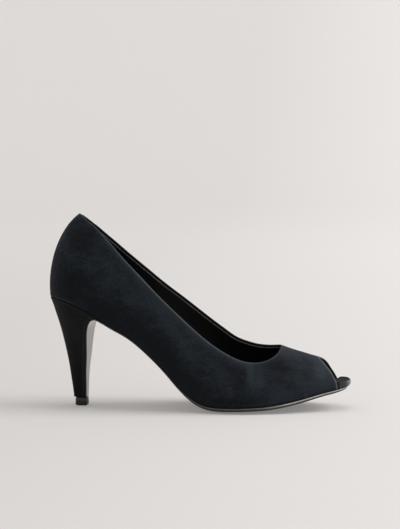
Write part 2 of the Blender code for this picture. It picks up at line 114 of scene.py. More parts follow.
# The peep opening: stations of its edge at shares of the way up from the feather edge
PEEP_UP = (0, 0.25, 0.5, 0.75, 1)
PEEP_S = {OUTER: (187.5, 186.1, 182.8, 177.4, 173.8), INNER: (186.2, 183.9, 180.4, 176.9, 173.8)}

# The heel from its tip up to the upper. square: how square the back is, 2 for an ellipse.
HEEL = {
    "x_front": (3.4, 3.5, 3.6, 4, 4.8, 5.3, 6, 7.2, 9, 11.2, 13.8),
    "z_front": (6.3, 12, 19.3, 28.3, 37.4, 46.4, 54.6, 60.1, 63.4, 65, 65.2),
    "x_back": (-6.5, -7.2, -8.3, -9.9, -12.1, -14.5, -17.1, -19.3, -21.1, -22.5, -23.4),
    "z_back": (6.3, 12.5, 20, 31, 42, 52.5, 62, 68.5, 73.9, 77.6, 80.1),
    "half": (5.4, 5.9, 6.9, 8.9, 11.6, 14.9, 18.4, 20.9, 23, 24.6, 25.8),
    "square": (2.9, 2.8, 2.7, 2.6, 2.4, 2.3, 2.2, 2.1, 2, 2, 2),
}
FLAP = 1.0           # thickness of the sole where it runs down the breast
FLAP_INSET = 0.5     # its edge stands back from the side of the heel
FLAP_JOIN_S = 20.0   # where the flap becomes the sole
TIP_FRONT, TIP_BACK, TIP_HALF, TIP_HEIGHT = 3.5, -5.5, 5.2, 5.9

# ---------------------------------------------------------------- finishing sizes

FOLD_BAND = 2.1      # suede turned over the collar and the peep edge, down to the lining's edge
SUEDE_WALL = 1.2     # suede with its stiffener
FOLD_WALL = 1.45     # suede folded on itself at the edges
UNDER_ROUND = 0.9    # radius of the upper's lower edge
LASTING = (2.2, 4.5, 7.0)  # how far the lasted margin reaches under the foot
MARGIN_LOW, MARGIN_HIGH = 0.26, 0.04  # its two faces, below the bottom of the last
LINING_GAP = 0.06    # air between the suede and the lining
LIP_START, LIP_PUFF = 186.5, 0.7  # where the insole's lip swells, and by how much
SOLE_LIFT = 0.12     # the sole's upper face stands this much above its edge, into the gap
HEEL_RIM = 0.7       # radius of the heel cover's upper edge

# Soft folds and dents of the upper, for each side: from (s, share up), to (s, share up),
# half width in mm, height in mm (minus is a dent)
FOLDS = {
    OUTER: (
        (124.5, 0.52, 121.5, 0.16, 2, 0.32), (120, 0.5, 117.5, 0.15, 2.2, -0.28),
        (131.5, 0.46, 128.5, 0.18, 2.6, 0.22), (127.8, 0.44, 125.5, 0.2, 1.8, -0.22),
        (100, 0.3, 92, 0.62, 5, 0.22), (64, 0.22, 50, 0.55, 6, -0.22),
        (40, 0.35, 24, 0.2, 6, 0.2), (151, 0.7, 160, 0.45, 4, -0.16),
    ),
    INNER: (
        (122, 0.5, 119, 0.18, 2.2, 0.26), (116.5, 0.48, 114, 0.2, 2.2, -0.22),
        (62, 0.2, 48, 0.5, 6, -0.22), (36, 0.3, 20, 0.24, 6, 0.18),
        (152, 0.66, 161, 0.42, 4, -0.14),
    ),
}

# Where the suede is painted lighter or darker, for each side: brushed nap, with painted shade
# low along the sole and painted highlights along the creases. Columns: x, z, half length,
# half height, turn in degrees, lighter (plus) or darker (minus)
NAP_AND_PAINTED_LIGHT_MARKS = {
    OUTER: (
        (2, 132, 9, 8, -40, -0.15), (10, 124, 7, 9, -35, -0.4), (-2, 140, 7, 4, 0, 0.6),
        (-11, 121, 5, 13, 22, 0.95), (22, 106, 14, 18, -35, 0.1), (33, 112, 16, 4, -45, 0.75),
        (50, 96, 12, 5, -50, 0.6), (30, 88, 14, 9, -30, 0.3), (46, 84, 10, 8, -40, 0.45),
        (-8, 92, 10, 15, 10, -0.65), (-20, 104, 5, 22, 8, 0.35), (10, 93, 9, 7, 0, -0.45),
        (2, 80, 16, 5, -20, -0.4), (27, 67, 13, 7, -25, -0.85), (15, 69, 10, 6, -25, -0.7),
        (46, 60, 20, 7, -46, -0.75), (61, 75, 14, 6, -50, 0.75), (72, 56, 16, 6, -50, 0.8),
        (86, 59, 18, 3.5, -42, 0.95), (64, 40, 16, 7, -48, -0.85), (80, 28, 14, 8, -38, -0.5),
        (84, 17, 14, 7, -25, -0.6), (98, 34, 14, 6, -38, 0.25), (114, 34, 10, 4, -30, -0.55),
        (122, 38, 8, 3, 0, 0.55), (126.4, 29, 2, 10, 11, 1.25), (132.5, 25, 2.5, 6, 5, 0.7),
        (119, 21, 4, 10, 8, -0.5), (112, 16, 3, 6, 0, 0.3), (139, 40, 6, 3, 0, 0.6),
        (145, 32, 10, 6, -20, -1.05), (150, 44.5, 10, 4, -20, 1.1), (168, 39, 8, 4, -20, 0.5),
        (174, 41, 4, 3, -20, 0.8), (18, 67.5, 9, 4, -25, -0.5), (127, 8, 8, 4.5, 2, -0.5),
        (63, 76, 8, 4, -50, 0.35), (151, 14, 7, 4, 10, 0.3), (176, 33, 6, 9, 8, 0.65),
        (179, 22, 7, 6, 0, 0.35), (108, 8, 22, 4.5, 2, -0.8),
    ),
    INNER: (
        (0, 130, 10, 9, -40, 0.4), (24, 98, 14, 18, -35, 0.45), (-10, 94, 9, 14, 8, -0.5),
        (50, 56, 22, 8, -48, -0.6), (74, 52, 18, 8, -42, 0.5), (96, 18, 16, 7, -10, -0.6),
        (120, 26, 3, 10, -6, 0.5), (138, 30, 12, 6, -14, -0.5), (164, 34, 14, 7, -20, 0.4),
        (120, 6, 40, 3, 2, -0.6),
    ),
}
# Painted light and shade along the shoe: darker at the back, lighter towards the toe where the
# light falls
PAINTED_LIGHT_LENGTHWISE = ((-25, 20, 70, 120, 150, 185), (-0.42, -0.34, -0.22, -0.02, 0.12, 0.36))
MARK_FADE = 16.0     # width over which a mark fades out across the ridge and the back seam
# Painted shade: the suede inside the shoe and under the foot is painted dark
PAINTED_SHADE_INSIDE = -0.9    # the nap inside the shoe and under the foot is dark
# Along the collar by X: how pale the fold is rubbed, with a painted highlight on it, and how
# strongly a painted highlight lightens the suede just below it
COLLAR_RUB_AND_HIGHLIGHT = ((0, 33, 53, 90, 118, 135, 146), (0.25, 0.4, 0.6, 0.5, 0.5, 0.3, 0.2))
COLLAR_PAINTED_HIGHLIGHT = ((0, 33, 53, 90, 118, 135, 146), (0.3, 0.9, 1.5, 1.1, 1.0, 0.3, 0.2))
# Paint on the sole's edge by station: full at the forefoot, thin towards the waist
SOLE_PAINT = ((20, 45, 80, 115, 135, 150, 175), (0.12, 0.12, 0.14, 0.15, 0.24, 0.8, 1.0))


def level_spline(at, xs, ys):
    """Cubic spline through the rows, level at both ends."""
    x, y = np.asarray(xs, float), np.asarray(ys, float)
    n = len(x)
    h = np.diff(x)
    rise = np.diff(y) / h
    system, right = np.zeros((n, n)), np.zeros(n)
    system[0, :2] = 2 * h[0], h[0]
    system[-1, -2:] = h[-1], 2 * h[-1]
    right[0], right[-1] = 6 * rise[0], -6 * rise[-1]
    for i in range(1, n - 1):
        system[i, i - 1:i + 2] = h[i - 1], 2 * (h[i - 1] + h[i]), h[i]
        right[i] = 6 * (rise[i] - rise[i - 1])
    bend = np.linalg.solve(system, right)
    at = np.clip(np.asarray(at, float), x[0], x[-1])
    i = np.clip(np.searchsorted(x, at) - 1, 0, n - 2)
    before, after, width = at - x[i], x[i + 1] - at, h[i]
    value = (bend[i] * after ** 3 + bend[i + 1] * before ** 3) / (6 * width)
    value = value + (y[i] / width - bend[i] * width / 6) * after
    return value + (y[i + 1] / width - bend[i + 1] * width / 6) * before


def section(name, s):
    return level_spline(s, SECTIONS["s"], SECTIONS[name])


def under(name, s):
    return level_spline(s, BOTTOMS["s"], BOTTOMS[name])


def axis(s, side):
    """Centre of station s, the direction outwards, and how far it is round the heel and the toe."""
    s = np.asarray(s, float)
    middle = np.clip(s, HEEL_TURN_X, TOE_TURN_X)
    back = np.clip(HEEL_TURN_X - s, 0, None) / HEEL_TURN_R
    front = np.clip(s - TOE_TURN_X, 0, None) / TOE_TURN_R
    across = np.sin(front) - np.sin(back)
    return middle, section("spine", middle), across, side * np.cos(front + back), back, front


def half_width(s, side):
    return section("out" if side == OUTER else "in", s)


def side_profile(s, t, side):
    """Distance from the spine and height, t from the feather edge (0) to the ridge (1)."""
    half = half_width(s, side)
    swell = section("swell_out" if side == OUTER else "swell_in", s)
    foot = under("feather", s)
    middle, _, _, _, _, front = axis(s, side)
    top = section("ridge", middle)
    full = section("full", s) * half
    a, b, c = (1 - t) ** 3, 3 * (1 - t) ** 2 * t, 3 * (1 - t) * t * t
    out = a * half + b * (half + swell) + c * full
    up = a * foot + b * (foot + section("rise", s) * (top - foot))
    return out, up + c * (top - RIDGE_FALL * full * np.sin(front)) + t ** 3 * top


def last_point(s, t, side):
    """The outer surface of the upper: the last with the upper on it."""
    s, t = np.broadcast_arrays(np.asarray(s, float), np.asarray(t, float))
    out, up = side_profile(s, t, side)
    x, y, nx, ny, _, _ = axis(s, side)
    return np.stack([x + nx * out, y + ny * out, up], -1)


def last_slopes(s, t, side):
    """Steps of the surface for a step of s and of t, and the outward normal."""
    step_s, step_t = 0.05, 0.0005
    s_low, s_high = np.clip(s - step_s, BACK, TIP), np.clip(s + step_s, BACK, TIP)
    t_low, t_high = np.clip(t - step_t, 0, 1), np.clip(t + step_t, 0, 1)
    along = (last_point(s_high, t, side) - last_point(s_low, t, side)) / (s_high - s_low)[..., None]
    up = (last_point(s, t_high, side) - last_point(s, t_low, side)) / (t_high - t_low)[..., None]
    normal = np.cross(along, up) * -side
    seam = (t > 1 - 1e-6) | (s < BACK + 1e-6)
    normal[..., 1] = np.where(seam, 0.0, normal[..., 1])
    return along, up, normal / np.linalg.norm(normal, axis=-1, keepdims=True)


def seat(s, v, side, out=None):
    """The bottom of the last. v runs from the spine (0) to the feather edge (1)."""
    s, v = np.broadcast_arrays(np.asarray(s, float), np.asarray(v, float))
    x, y, nx, ny, back, front = axis(s, side)
    reach = half_width(s, side) * v if out is None else out
    centre = under("feather", x) - under("sag", x)
    bend = 2 - np.sin(back) - np.sin(front)
    height = centre + (under("feather", s) - centre) * np.clip(v, 0, None) ** bend
    return np.stack([x + nx * reach, y + ny * reach, height], -1)


def solve_share(s, wanted, side, by_height):
    """Share t at which the side is at a wanted height, or else at a wanted half width."""
    s = np.asarray(s, float)
    low, high = np.full(s.shape, 0.05 if by_height else 0.3), np.ones(s.shape)
    for _ in range(40):
        middle = (low + high) / 2
        value = side_profile(s, middle, side)[1 if by_height else 0]
        below = value < wanted if by_height else value > wanted
        low, high = np.where(below, middle, low), np.where(below, high, middle)
    return (low + high) / 2


def lengths(points):
    return np.concatenate([[0], np.cumsum(np.linalg.norm(np.diff(points, axis=0), axis=1))])


def collar_edge(side, count):
    """Stations and shares along the collar edge, evenly spaced from the back seam to the throat."""
    s = np.array(COLLAR_S)
    t = solve_share(s, COLLAR_UP[side], side, True)
    ts = np.array(THROAT_S[side])
    tt = solve_share(ts, THROAT_HALF[side], side, False)
    tt[-1] = 1.0
    end = len(s) + len(ts) - 1
    # Reflected past the throat, so that the edge crosses the ridge square to it
    s = np.concatenate([s, ts, ts[-2:-5:-1]])
    t = np.concatenate([t, tt, 2 - tt[-2:-5:-1]])
    place = np.concatenate([[0], np.cumsum(np.hypot(np.diff(s), 45 * np.diff(t)))])
    fine = np.linspace(0, place[end], 1200)
    s, t = level_spline(fine, place, s), np.clip(level_spline(fine, place, t), 0, 1)
    run = lengths(last_point(s, t, side))
    even = np.linspace(0, run[-1], count + 1)
    s, t = np.interp(even, run, s), np.interp(even, run, t)
    s[-1], t[-1] = THROAT_S[side][-1], 1.0
    return s, t


def inward(s, t, side, steps, pin_start, pin_end, turn):
    """Copies of an edge at each distance of steps, square to it and across the surface."""
    rows = [(s, t)]
    for near, far in zip(steps, steps[1:]):
        s, t = rows[-1]
        along, up, normal = last_slopes(s, t, side)
        run = np.gradient(last_point(s, t, side), axis=0)
        way = np.cross(normal, run / np.linalg.norm(run, axis=1, keepdims=True)) * turn
        # Step in s and t whose place on the surface is the wanted one
        aa, ab, bb = (along * along).sum(-1), (along * up).sum(-1), (up * up).sum(-1)
        wa, wb = (along * way).sum(-1), (up * way).sum(-1)
        spread = aa * bb - ab * ab
        ds = (wa * bb - wb * ab) / spread * (far - near)
        dt = (wb * aa - wa * ab) / spread * (far - near)
        new_s, new_t = s + ds, np.clip(t + dt, 0, 1)
        plain_s = (far - near) / np.sqrt(aa)
        plain_t = (far - near) / np.sqrt(bb)
        pin_start(new_s, new_t, s, t, plain_t)
        pin_end(new_s, new_t, s, t, plain_s)
        rows.append((new_s, new_t))
    return rows


# ---------------------------------------------------------------- mesh making

class Sheet:
    """Points, faces and tones gathered for one piece."""

    def __init__(self):
        self.points, self.faces, self.tones = [], [], []

    def grid(self, points, tone=None, flip=False):
        """Faces over a grid of points. tone is two values for each point, edge and nap."""
        rows, across, _ = points.shape
        start = len(self.points)
        self.points.extend(points.reshape(-1, 3).tolist())
        tone = np.zeros((rows, across, 2)) if tone is None else tone
        self.tones.extend(np.broadcast_to(tone, (rows, across, 2)).reshape(-1, 2).tolist())
        for i in range(rows - 1):
            for j in range(across - 1):
                a = start + i * across + j
                face = (a, a + 1, a + across + 1, a + across)
                self.faces.append(face[::-1] if flip else face)

    def cap(self, points, tone=(0.0, 0.0)):
        start = len(self.points)
        self.points.extend(np.asarray(points).tolist())
        self.tones.extend([tone] * len(points))
        self.faces.append(tuple(range(start, start + len(points))))

    def make(self, name, look):
        """One smooth object in metres, closed and facing outwards."""
        build = bmesh.new()
        edge = build.verts.layers.float.new("edge")
        nap = build.verts.layers.float.new("nap")
        made = []
        for point, tone in zip(self.points, self.tones):
            vert = build.verts.new([c * MM for c in point])
            vert[edge], vert[nap] = tone
            made.append(vert)
        for face in self.faces:
            build.faces.new([made[i] for i in face])
        bmesh.ops.remove_doubles(build, verts=build.verts, dist=2e-6)
        bmesh.ops.dissolve_degenerate(build, edges=build.edges, dist=1e-7)
        bmesh.ops.recalc_face_normals(build, faces=build.faces)
        loose = sum(1 for e in build.edges if len(e.link_faces) != 2)
        if loose:
            raise RuntimeError("%s has %d open edges" % (name, loose))
        if build.calc_volume(signed=True) < 0:
            bmesh.ops.reverse_faces(build, faces=build.faces)
        for face in build.faces:
            face.smooth = True
        data = bpy.data.meshes.new(name)
        build.to_mesh(data)
        build.free()
        return placed(name, data, look)


def placed(name, data, look):
    obj = bpy.data.objects.new(name, data)
    bpy.context.scene.collection.objects.link(obj)
    data.materials.clear()
    data.materials.append(look)
    return obj


def ride_as(obj, slot, *nodes):
    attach(obj, "root")
    if nodes:
        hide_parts(*nodes)


def graded(stops):
    """Places from a list of (end, count) runs that starts at 0."""
    places, at = [0.0], 0.0
    for end, count in stops:
        places.extend(np.linspace(at, end, count + 1)[1:].tolist())
        at = end
    return np.array(places)


# ---------------------------------------------------------------- the upper

COLLAR_COUNT, VAMP_COUNT, SIDE_COUNT = 150, 34, 42
BAND_STEPS = graded(((0.12, 2), (0.72, 5), (FOLD_BAND, 5)))
FOOT_STEPS = graded(((0.1, 1), (0.9, 5), (1.6, 1)))


def upper_layout(side):
    """Stations, shares and distances to the edges for the upper's three areas on one side.

    body is the main area, collar and peep are the bands along the two openings."""
    def at_back(new_s, new_t, s, t, plain):
        new_s[0], new_t[0] = BACK, t[0] - plain[0]

    def at_throat(new_s, new_t, s, t, plain):
        new_s[-1], new_t[-1] = s[-1] + plain[-1], 1.0

    def at_peep_top(new_s, new_t, s, t, plain):
        new_s[-1], new_t[-1] = s[-1] - plain[-1], 1.0

    edge_s, edge_t = collar_edge(side, COLLAR_COUNT)
    collar = inward(edge_s, edge_t, side, BAND_STEPS, at_back, at_throat, side)

    foot_s = PEEP_S[side][0]
    _, up, _ = last_slopes(np.array([foot_s]), np.array([0.0]), side)
    foot_shares = FOOT_STEPS / np.linalg.norm(up[0])
    shares = np.concatenate([foot_shares, np.linspace(foot_shares[-1], 1, SIDE_COUNT + 1)[1:]])

    def at_foot(new_s, new_t, s, t, plain):
        hold = np.clip(1 - t / 0.25, 0, 1)
        hold[t <= foot_shares[-1]] = 1.0
        new_t[:] = new_t * (1 - hold) + t * hold
        new_s[t <= foot_shares[-1]] = new_s[np.searchsorted(t, foot_shares[-1])]

    peep = inward(level_spline(shares, PEEP_UP, PEEP_S[side]), shares, side, BAND_STEPS,
                  at_foot, at_peep_top, -side)

    # The body lies between the two bands, the feather edge, the ridge and the back seam
    top_s, top_t = collar[-1]
    right_s, right_t = peep[-1]
    ridge = np.linspace(top_s[-1], right_s[-1], VAMP_COUNT + 1)[1:]
    top_s, top_t = np.append(top_s, ridge), np.append(top_t, np.ones(VAMP_COUNT))
    foot_break = top_s[COLLAR_COUNT] + 20
    low_s = np.concatenate([np.linspace(BACK, foot_break, COLLAR_COUNT + 1),
                            np.linspace(foot_break, right_s[0], VAMP_COUNT + 1)[1:]])
    _, up, _ = last_slopes(low_s, np.zeros(len(low_s)), side)
    foot_t = FOOT_STEPS[None, :] / np.linalg.norm(up, axis=1)[:, None]
    low_t = foot_t[:, -1]
    split = 0.82
    u = np.concatenate([np.linspace(0, split, COLLAR_COUNT + 1),
                        np.linspace(split, 1, VAMP_COUNT + 1)[1:]])[:, None]
    v = np.linspace(0, 1, SIDE_COUNT + 1)[None, :]
    rs, rt = right_s[len(FOOT_STEPS) - 1:], right_t[len(FOOT_STEPS) - 1:]
    left_t = low_t[0] + v * (top_t[0] - low_t[0])
    s = (1 - v) * low_s[:, None] + v * top_s[:, None] + (1 - u) * BACK + u * rs[None, :]
    s = s - ((1 - u) * BACK + u * (1 - v) * rs[0] + u * v * rs[-1])
    t = (1 - v) * low_t[:, None] + v * top_t[:, None] + (1 - u) * left_t + u * rt[None, :]
    t = t - ((1 - u) * ((1 - v) * low_t[0] + v * top_t[0]) + u * ((1 - v) * rt[0] + v * rt[-1]))
    body_s = np.concatenate([np.repeat(low_s[:, None], len(FOOT_STEPS) - 1, 1), s], 1)
    body_t = np.concatenate([foot_t[:, :-1], t], 1)
    body_s[-1], body_t[-1] = right_s, right_t
    return {
        "body": (body_s, np.clip(body_t, 0, 1)),
        "collar": tuple(np.stack(part, 1) for part in zip(*collar[::-1])),
        "peep": tuple(np.stack(part, 0) for part in zip(*peep[::-1])),
    }


def bell(*terms):
    """1 in the middle, softly down to 0. Each term is a value, its middle and its reach."""
    return np.exp(-sum(((value - middle) / reach) ** 2 for value, middle, reach in terms))


def fold_lift(points):
    """Height of the hand placed folds at each point."""
    lift = np.zeros(points.shape[:-1])
    for side, folds in FOLDS.items():
        for s0, t0, s1, t1, half, height in folds:
            a, b = last_point(s0, t0, side), last_point(s1, t1, side)
            share = np.clip(((points - a) @ (b - a)) / ((b - a) @ (b - a)), 0, 1)
            gap = np.linalg.norm(points - (a + share[..., None] * (b - a)), axis=-1)
            fade = 0.35 + 0.65 * np.sin(math.pi * np.clip(share, 0.08, 0.92))
            lift += height * fade * bell((gap, 0, half))
    return lift


def nap_and_painted_light_tone(points):
    """How light each point is painted from the marks: brushed nap, with painted light and shade."""
    x, y, z = points[..., 0], points[..., 1], points[..., 2]
    tone = np.zeros(x.shape)
    spine = section("spine", np.clip(x, HEEL_TURN_X, TOE_TURN_X))
    for side, marks in NAP_AND_PAINTED_LIGHT_MARKS.items():
        here = np.clip(0.5 + side * (y - spine) / MARK_FADE, 0, 1)
        for middle_x, middle_z, half_x, half_z, turn, amount in marks:
            cos, sin = math.cos(math.radians(turn)), math.sin(math.radians(turn))
            dx, dz = x - middle_x, z - middle_z
            tone += amount * here * bell((dx * cos + dz * sin, 0, half_x),
                                         (dz * cos - dx * sin, 0, half_z))
    return tone + np.interp(x, *PAINTED_LIGHT_LENGTHWISE)


def rolled(distance, radius):
    """Share of a round edge's half thickness at a distance from it."""
    near = np.clip(1 - distance / radius, 0, 1)
    return np.sqrt(np.clip(1 - near * near, 0, 1))


FAR = 99.0           # stands for a distance to an edge that the area doesn't have


def upper_tones(name, side, face, distance, foot_distance, gap):
    """Rubbed edges with painted highlights, and nap with painted light and shade, by edge
    distances.
    """
    x, z = face[..., 0], face[..., 2]
    # The folds along the openings are rubbed pale, with a painted highlight on them
    if name == "peep":
        edge = bell((distance, 0, 0.95))
    else:
        edge = np.interp(x, *COLLAR_RUB_AND_HIGHLIGHT) * bell((distance, 0, 0.9))
    if side == OUTER:
        # The toe is painted paler just behind the peep, a painted highlight where the light falls
        # on it
        edge = edge + 0.10 * bell((x, 177, 6), (z, 31, 9))
    # A pale fold line where the upper meets the heel: rubbed wear with a painted highlight
    over_heel = np.clip((8 - x) / 14, 0, 1)
    edge = edge + 0.20 * over_heel * bell((foot_distance, 1.0, 0.4))
    # Painted shade darkens the suede along its lower edge; a painted highlight lightens it below
    # the collar
    nap = nap_and_painted_light_tone(face) - 0.6 * bell((foot_distance, 0, 1.6))
    return np.stack([edge, nap + np.interp(x, *COLLAR_PAINTED_HIGHLIGHT) * bell((gap, 0, 2.3))], -1)


def upper_areas(side):
    """Points of both faces of the suede and of the lining for each area, and the suede's tones."""
    areas = {}
    layout = upper_layout(side)
    for name in ("collar", "body", "peep"):
        s, t = layout[name]
        face = last_point(s, t, side)
        _, _, normal = last_slopes(s, t, side)
        # Distances to the opening's edge, to the lower edge and to the collar's rim
        distance, foot_distance, gap = (np.full(s.shape, FAR) for _ in range(3))
        if name == "collar":
            distance = np.broadcast_to(BAND_STEPS[::-1][None, :], s.shape)
            rim, gap = face[:, -1], distance
        else:
            foot_distance[:, :len(FOOT_STEPS)] = FOOT_STEPS[None, :]
            for point in rim:
                gap = np.minimum(gap, np.linalg.norm(face - point, axis=-1))
        if name == "peep":
            distance = np.broadcast_to(BAND_STEPS[::-1][:, None], s.shape)
        round_off = rolled(distance, FOLD_WALL / 2)
        outer = FOLD_WALL / 2 * (1 - round_off)
        suede = FOLD_WALL / 2 * (1 + round_off)
        under_fold = np.clip((distance - FOLD_BAND + 0.35) / 0.3, 0, 1)
        suede = suede + (SUEDE_WALL - FOLD_WALL) * under_fold
        room = np.where(distance < FOLD_BAND,
                        0.55 + 0.35 * np.clip(distance / FOLD_BAND, 0, 1), 1)
        lower = UNDER_ROUND * room * (1 - rolled(foot_distance, UNDER_ROUND))
        outer = np.maximum(outer, np.minimum(lower, suede))
        lift = fold_lift(face) * np.clip(distance / 1.5, 0, 1)
        lift = lift * np.clip(foot_distance / 1.6, 0, 1)
        areas[name] = {
            "s": s,
            "face": face - (outer - lift)[..., None] * normal,
            "suede": face - (suede - 0.5 * lift)[..., None] * normal,
            "back": face - (SUEDE_WALL + LINING_GAP - 0.5 * lift)[..., None] * normal,
            "lining": face - (WALL - 0.5 * lift)[..., None] * normal,
            "tone": upper_tones(name, side, face, distance, foot_distance, gap),
        }
    return areas


def build_upper(look):
    sheet = Sheet()
    for side in (OUTER, INNER):
        areas = upper_areas(side)
        for area in areas.values():
            sheet.grid(area["face"], area["tone"])
            # The inside faces of the suede are painted dark as painted shade, with little of the
            # edge highlight
            inside = area["tone"].copy()
            inside[..., 0] *= 0.12
            inside[..., 1] = PAINTED_SHADE_INSIDE
            sheet.grid(area["suede"], inside, flip=True)
        # The lasted margin under the foot
        body, peep = areas["body"], areas["peep"]
        s = np.concatenate([body["s"][:, 0], peep["s"][1:, 0]])
        first = np.concatenate([body["face"][:, 0], peep["face"][1:, 0]])
        last = np.concatenate([body["suede"][:, 0], peep["suede"][1:, 0]])
        half = half_width(s, side)
        rows = [first]
        for reach, lower in ([(r, MARGIN_LOW) for r in LASTING]
                             + [(r, MARGIN_HIGH) for r in LASTING[::-1]]):
            row = seat(s, 1 - reach / half, side)
            row[:, 2] -= lower
            rows.append(row)
        rows.append(last)
        margin = np.stack(rows, 1)
        # The lasted margin under the foot is painted dark as painted shade
        tone = np.zeros(margin.shape[:2] + (2,))
        tone[..., 1] = PAINTED_SHADE_INSIDE
        sheet.grid(margin, tone)
        sheet.cap(margin[-1])
    return sheet.make("upper_suede", look)


def with_rim(points, top, width=0.12):
    """Adds a narrow row and column inside the cut edges, and says which points are raw leather."""
    step = points[:, -2] - points[:, -1]
    row = points[:, -1] + step * width / np.linalg.norm(step, axis=1, keepdims=True)
    points = np.concatenate([points[:, :-1], row[:, None], points[:, -1:]], 1)
    step = points[-2] - points[-1]
    line = points[-1] + step * width / np.linalg.norm(step, axis=1, keepdims=True)
    points = np.concatenate([points[:-1], line[None], points[-1:]], 0)
    raw = np.zeros(points.shape[:2])
    raw[:-2, -1] = top[:-1]
    raw[-1] = 1.0
    return points, raw


def build_lining(look):
    sheet = Sheet()
    for side in (OUTER, INNER):
        body = upper_areas(side)["body"]
        back, front = body["back"], body["lining"].copy()
        s = body["s"]
        foot = s[:, 0]
        for rows, wall in ((front, WALL), (back, SUEDE_WALL + LINING_GAP)):
            rows[:, 0] = seat(foot, 1 - wall * 1.04 / half_width(foot, side), side)
        # The cut edge along the collar and the peep takes the colour of raw leather
        top = np.arange(len(s)) <= COLLAR_COUNT
        front, raw = with_rim(front, top)
        back, _ = with_rim(back, top)
        top = np.append(top, False)
        sheet.grid(front, np.stack([raw, raw], -1))
        sheet.grid(back, np.stack([raw, raw], -1), flip=True)
        sheet.grid(np.stack([front[top, -1], back[top, -1]], 1), np.ones((1, 1, 2)))
        sheet.grid(np.stack([front[-1], back[-1]], 1), np.ones((1, 1, 2)))
        sheet.grid(np.stack([front[:, 0], back[:, 0]], 1))
    return sheet.make("lining", look)


# ---------------------------------------------------------------- insole, sole, heel, tip

def stations(start, counts):
    """Stations from the back, or from where the flap joins the sole, to the toe."""
    heel = [np.linspace(BACK, HEEL_TURN_X, counts[0]),
            np.linspace(HEEL_TURN_X, FLAP_JOIN_S, 10)[1:-1]]
    front = [np.linspace(FLAP_JOIN_S, TOE_TURN_X, counts[1]),
             np.linspace(TOE_TURN_X, TIP, counts[2])[1:]]
    return np.concatenate((heel if start < FLAP_JOIN_S else []) + front)


def build_insole(look):
    """The board with its sock, and the suede covered lip that rounds over under the toe."""
    sheet = Sheet()
    s = stations(BACK, (28, 110, 40))
    shares = np.array([0.0, 0.2, 0.4, 0.6, 0.75, 0.87, 0.95])
    for side in (OUTER, INNER):
        bare = np.clip((s - PEEP_S[side][0] - 0.2) / 1.3, 0, 1)
        bare = bare * bare * (3 - 2 * bare)
        reach = half_width(s, side) - (WALL + 0.08) * (1 - bare)
        puffed = LIP_PUFF * np.clip((s - LIP_START) / 2, 0, 1)
        thick = under("board", s) + puffed
        centre_thick = under("board", np.clip(s, HEEL_TURN_X, TOE_TURN_X)) + puffed
        edge = reach / half_width(s, side)
        profile = [seat(s, share * edge, side) for share in shares]
        lip = np.minimum(1.5, thick * 0.45)
        low = seat(s, edge, side)
        for angle in np.linspace(-0.5, 0.5, 11) * math.pi:
            point = seat(s, edge, side, out=reach - lip * (1 - math.cos(angle)))
            middle = np.where(angle < 0, lip, thick - lip)
            point[:, 2] = low[:, 2] + middle + lip * math.sin(angle)
            profile.append(point)
        for share in shares[::-1]:
            point = seat(s, share * edge, side)
            point[:, 2] += centre_thick + (thick - centre_thick) * share
            profile.append(point)
        points = np.stack(profile, 1)
        tone = np.zeros(points.shape[:2] + (2,))
        # Painted highlight at the front end of the lip, over paler streaks round its rim
        front = bell((s, 202, 4.5))
        rim = np.zeros(points.shape[1])
        rim[len(shares):len(shares) + 11] = (0, 0.1, 0.6, 0.2, 0.9, 0.5, 1.0, 0.5, 0.2, 0, 0)
        tone[..., 0] = (bare * (0.09 + 0.85 * front))[:, None] * rim
        # The suede of the lip ends where the sock begins, just inside the peep
        tone[..., 1] = np.clip((points[..., 0] - 176) / 2, 0, 1)
        sheet.grid(points, tone)
    return sheet.make("insole_covered", look)


def heel_level(name, share):
    return level_spline(share, np.linspace(0, 1, len(HEEL[name])), HEEL[name])


def breast(share, depth):
    """Point of the breast line at a level, sunk by depth towards the heel."""
    low, high = np.clip(share - 0.004, 0, 1), np.clip(share + 0.004, 0, 1)
    run = np.stack([heel_level(n, high) - heel_level(n, low) for n in ("x_front", "z_front")], -1)
    run = run / np.linalg.norm(run, axis=-1, keepdims=True)
    return (heel_level("x_front", share) - run[..., 1] * depth,
            heel_level("z_front", share) + run[..., 0] * depth)


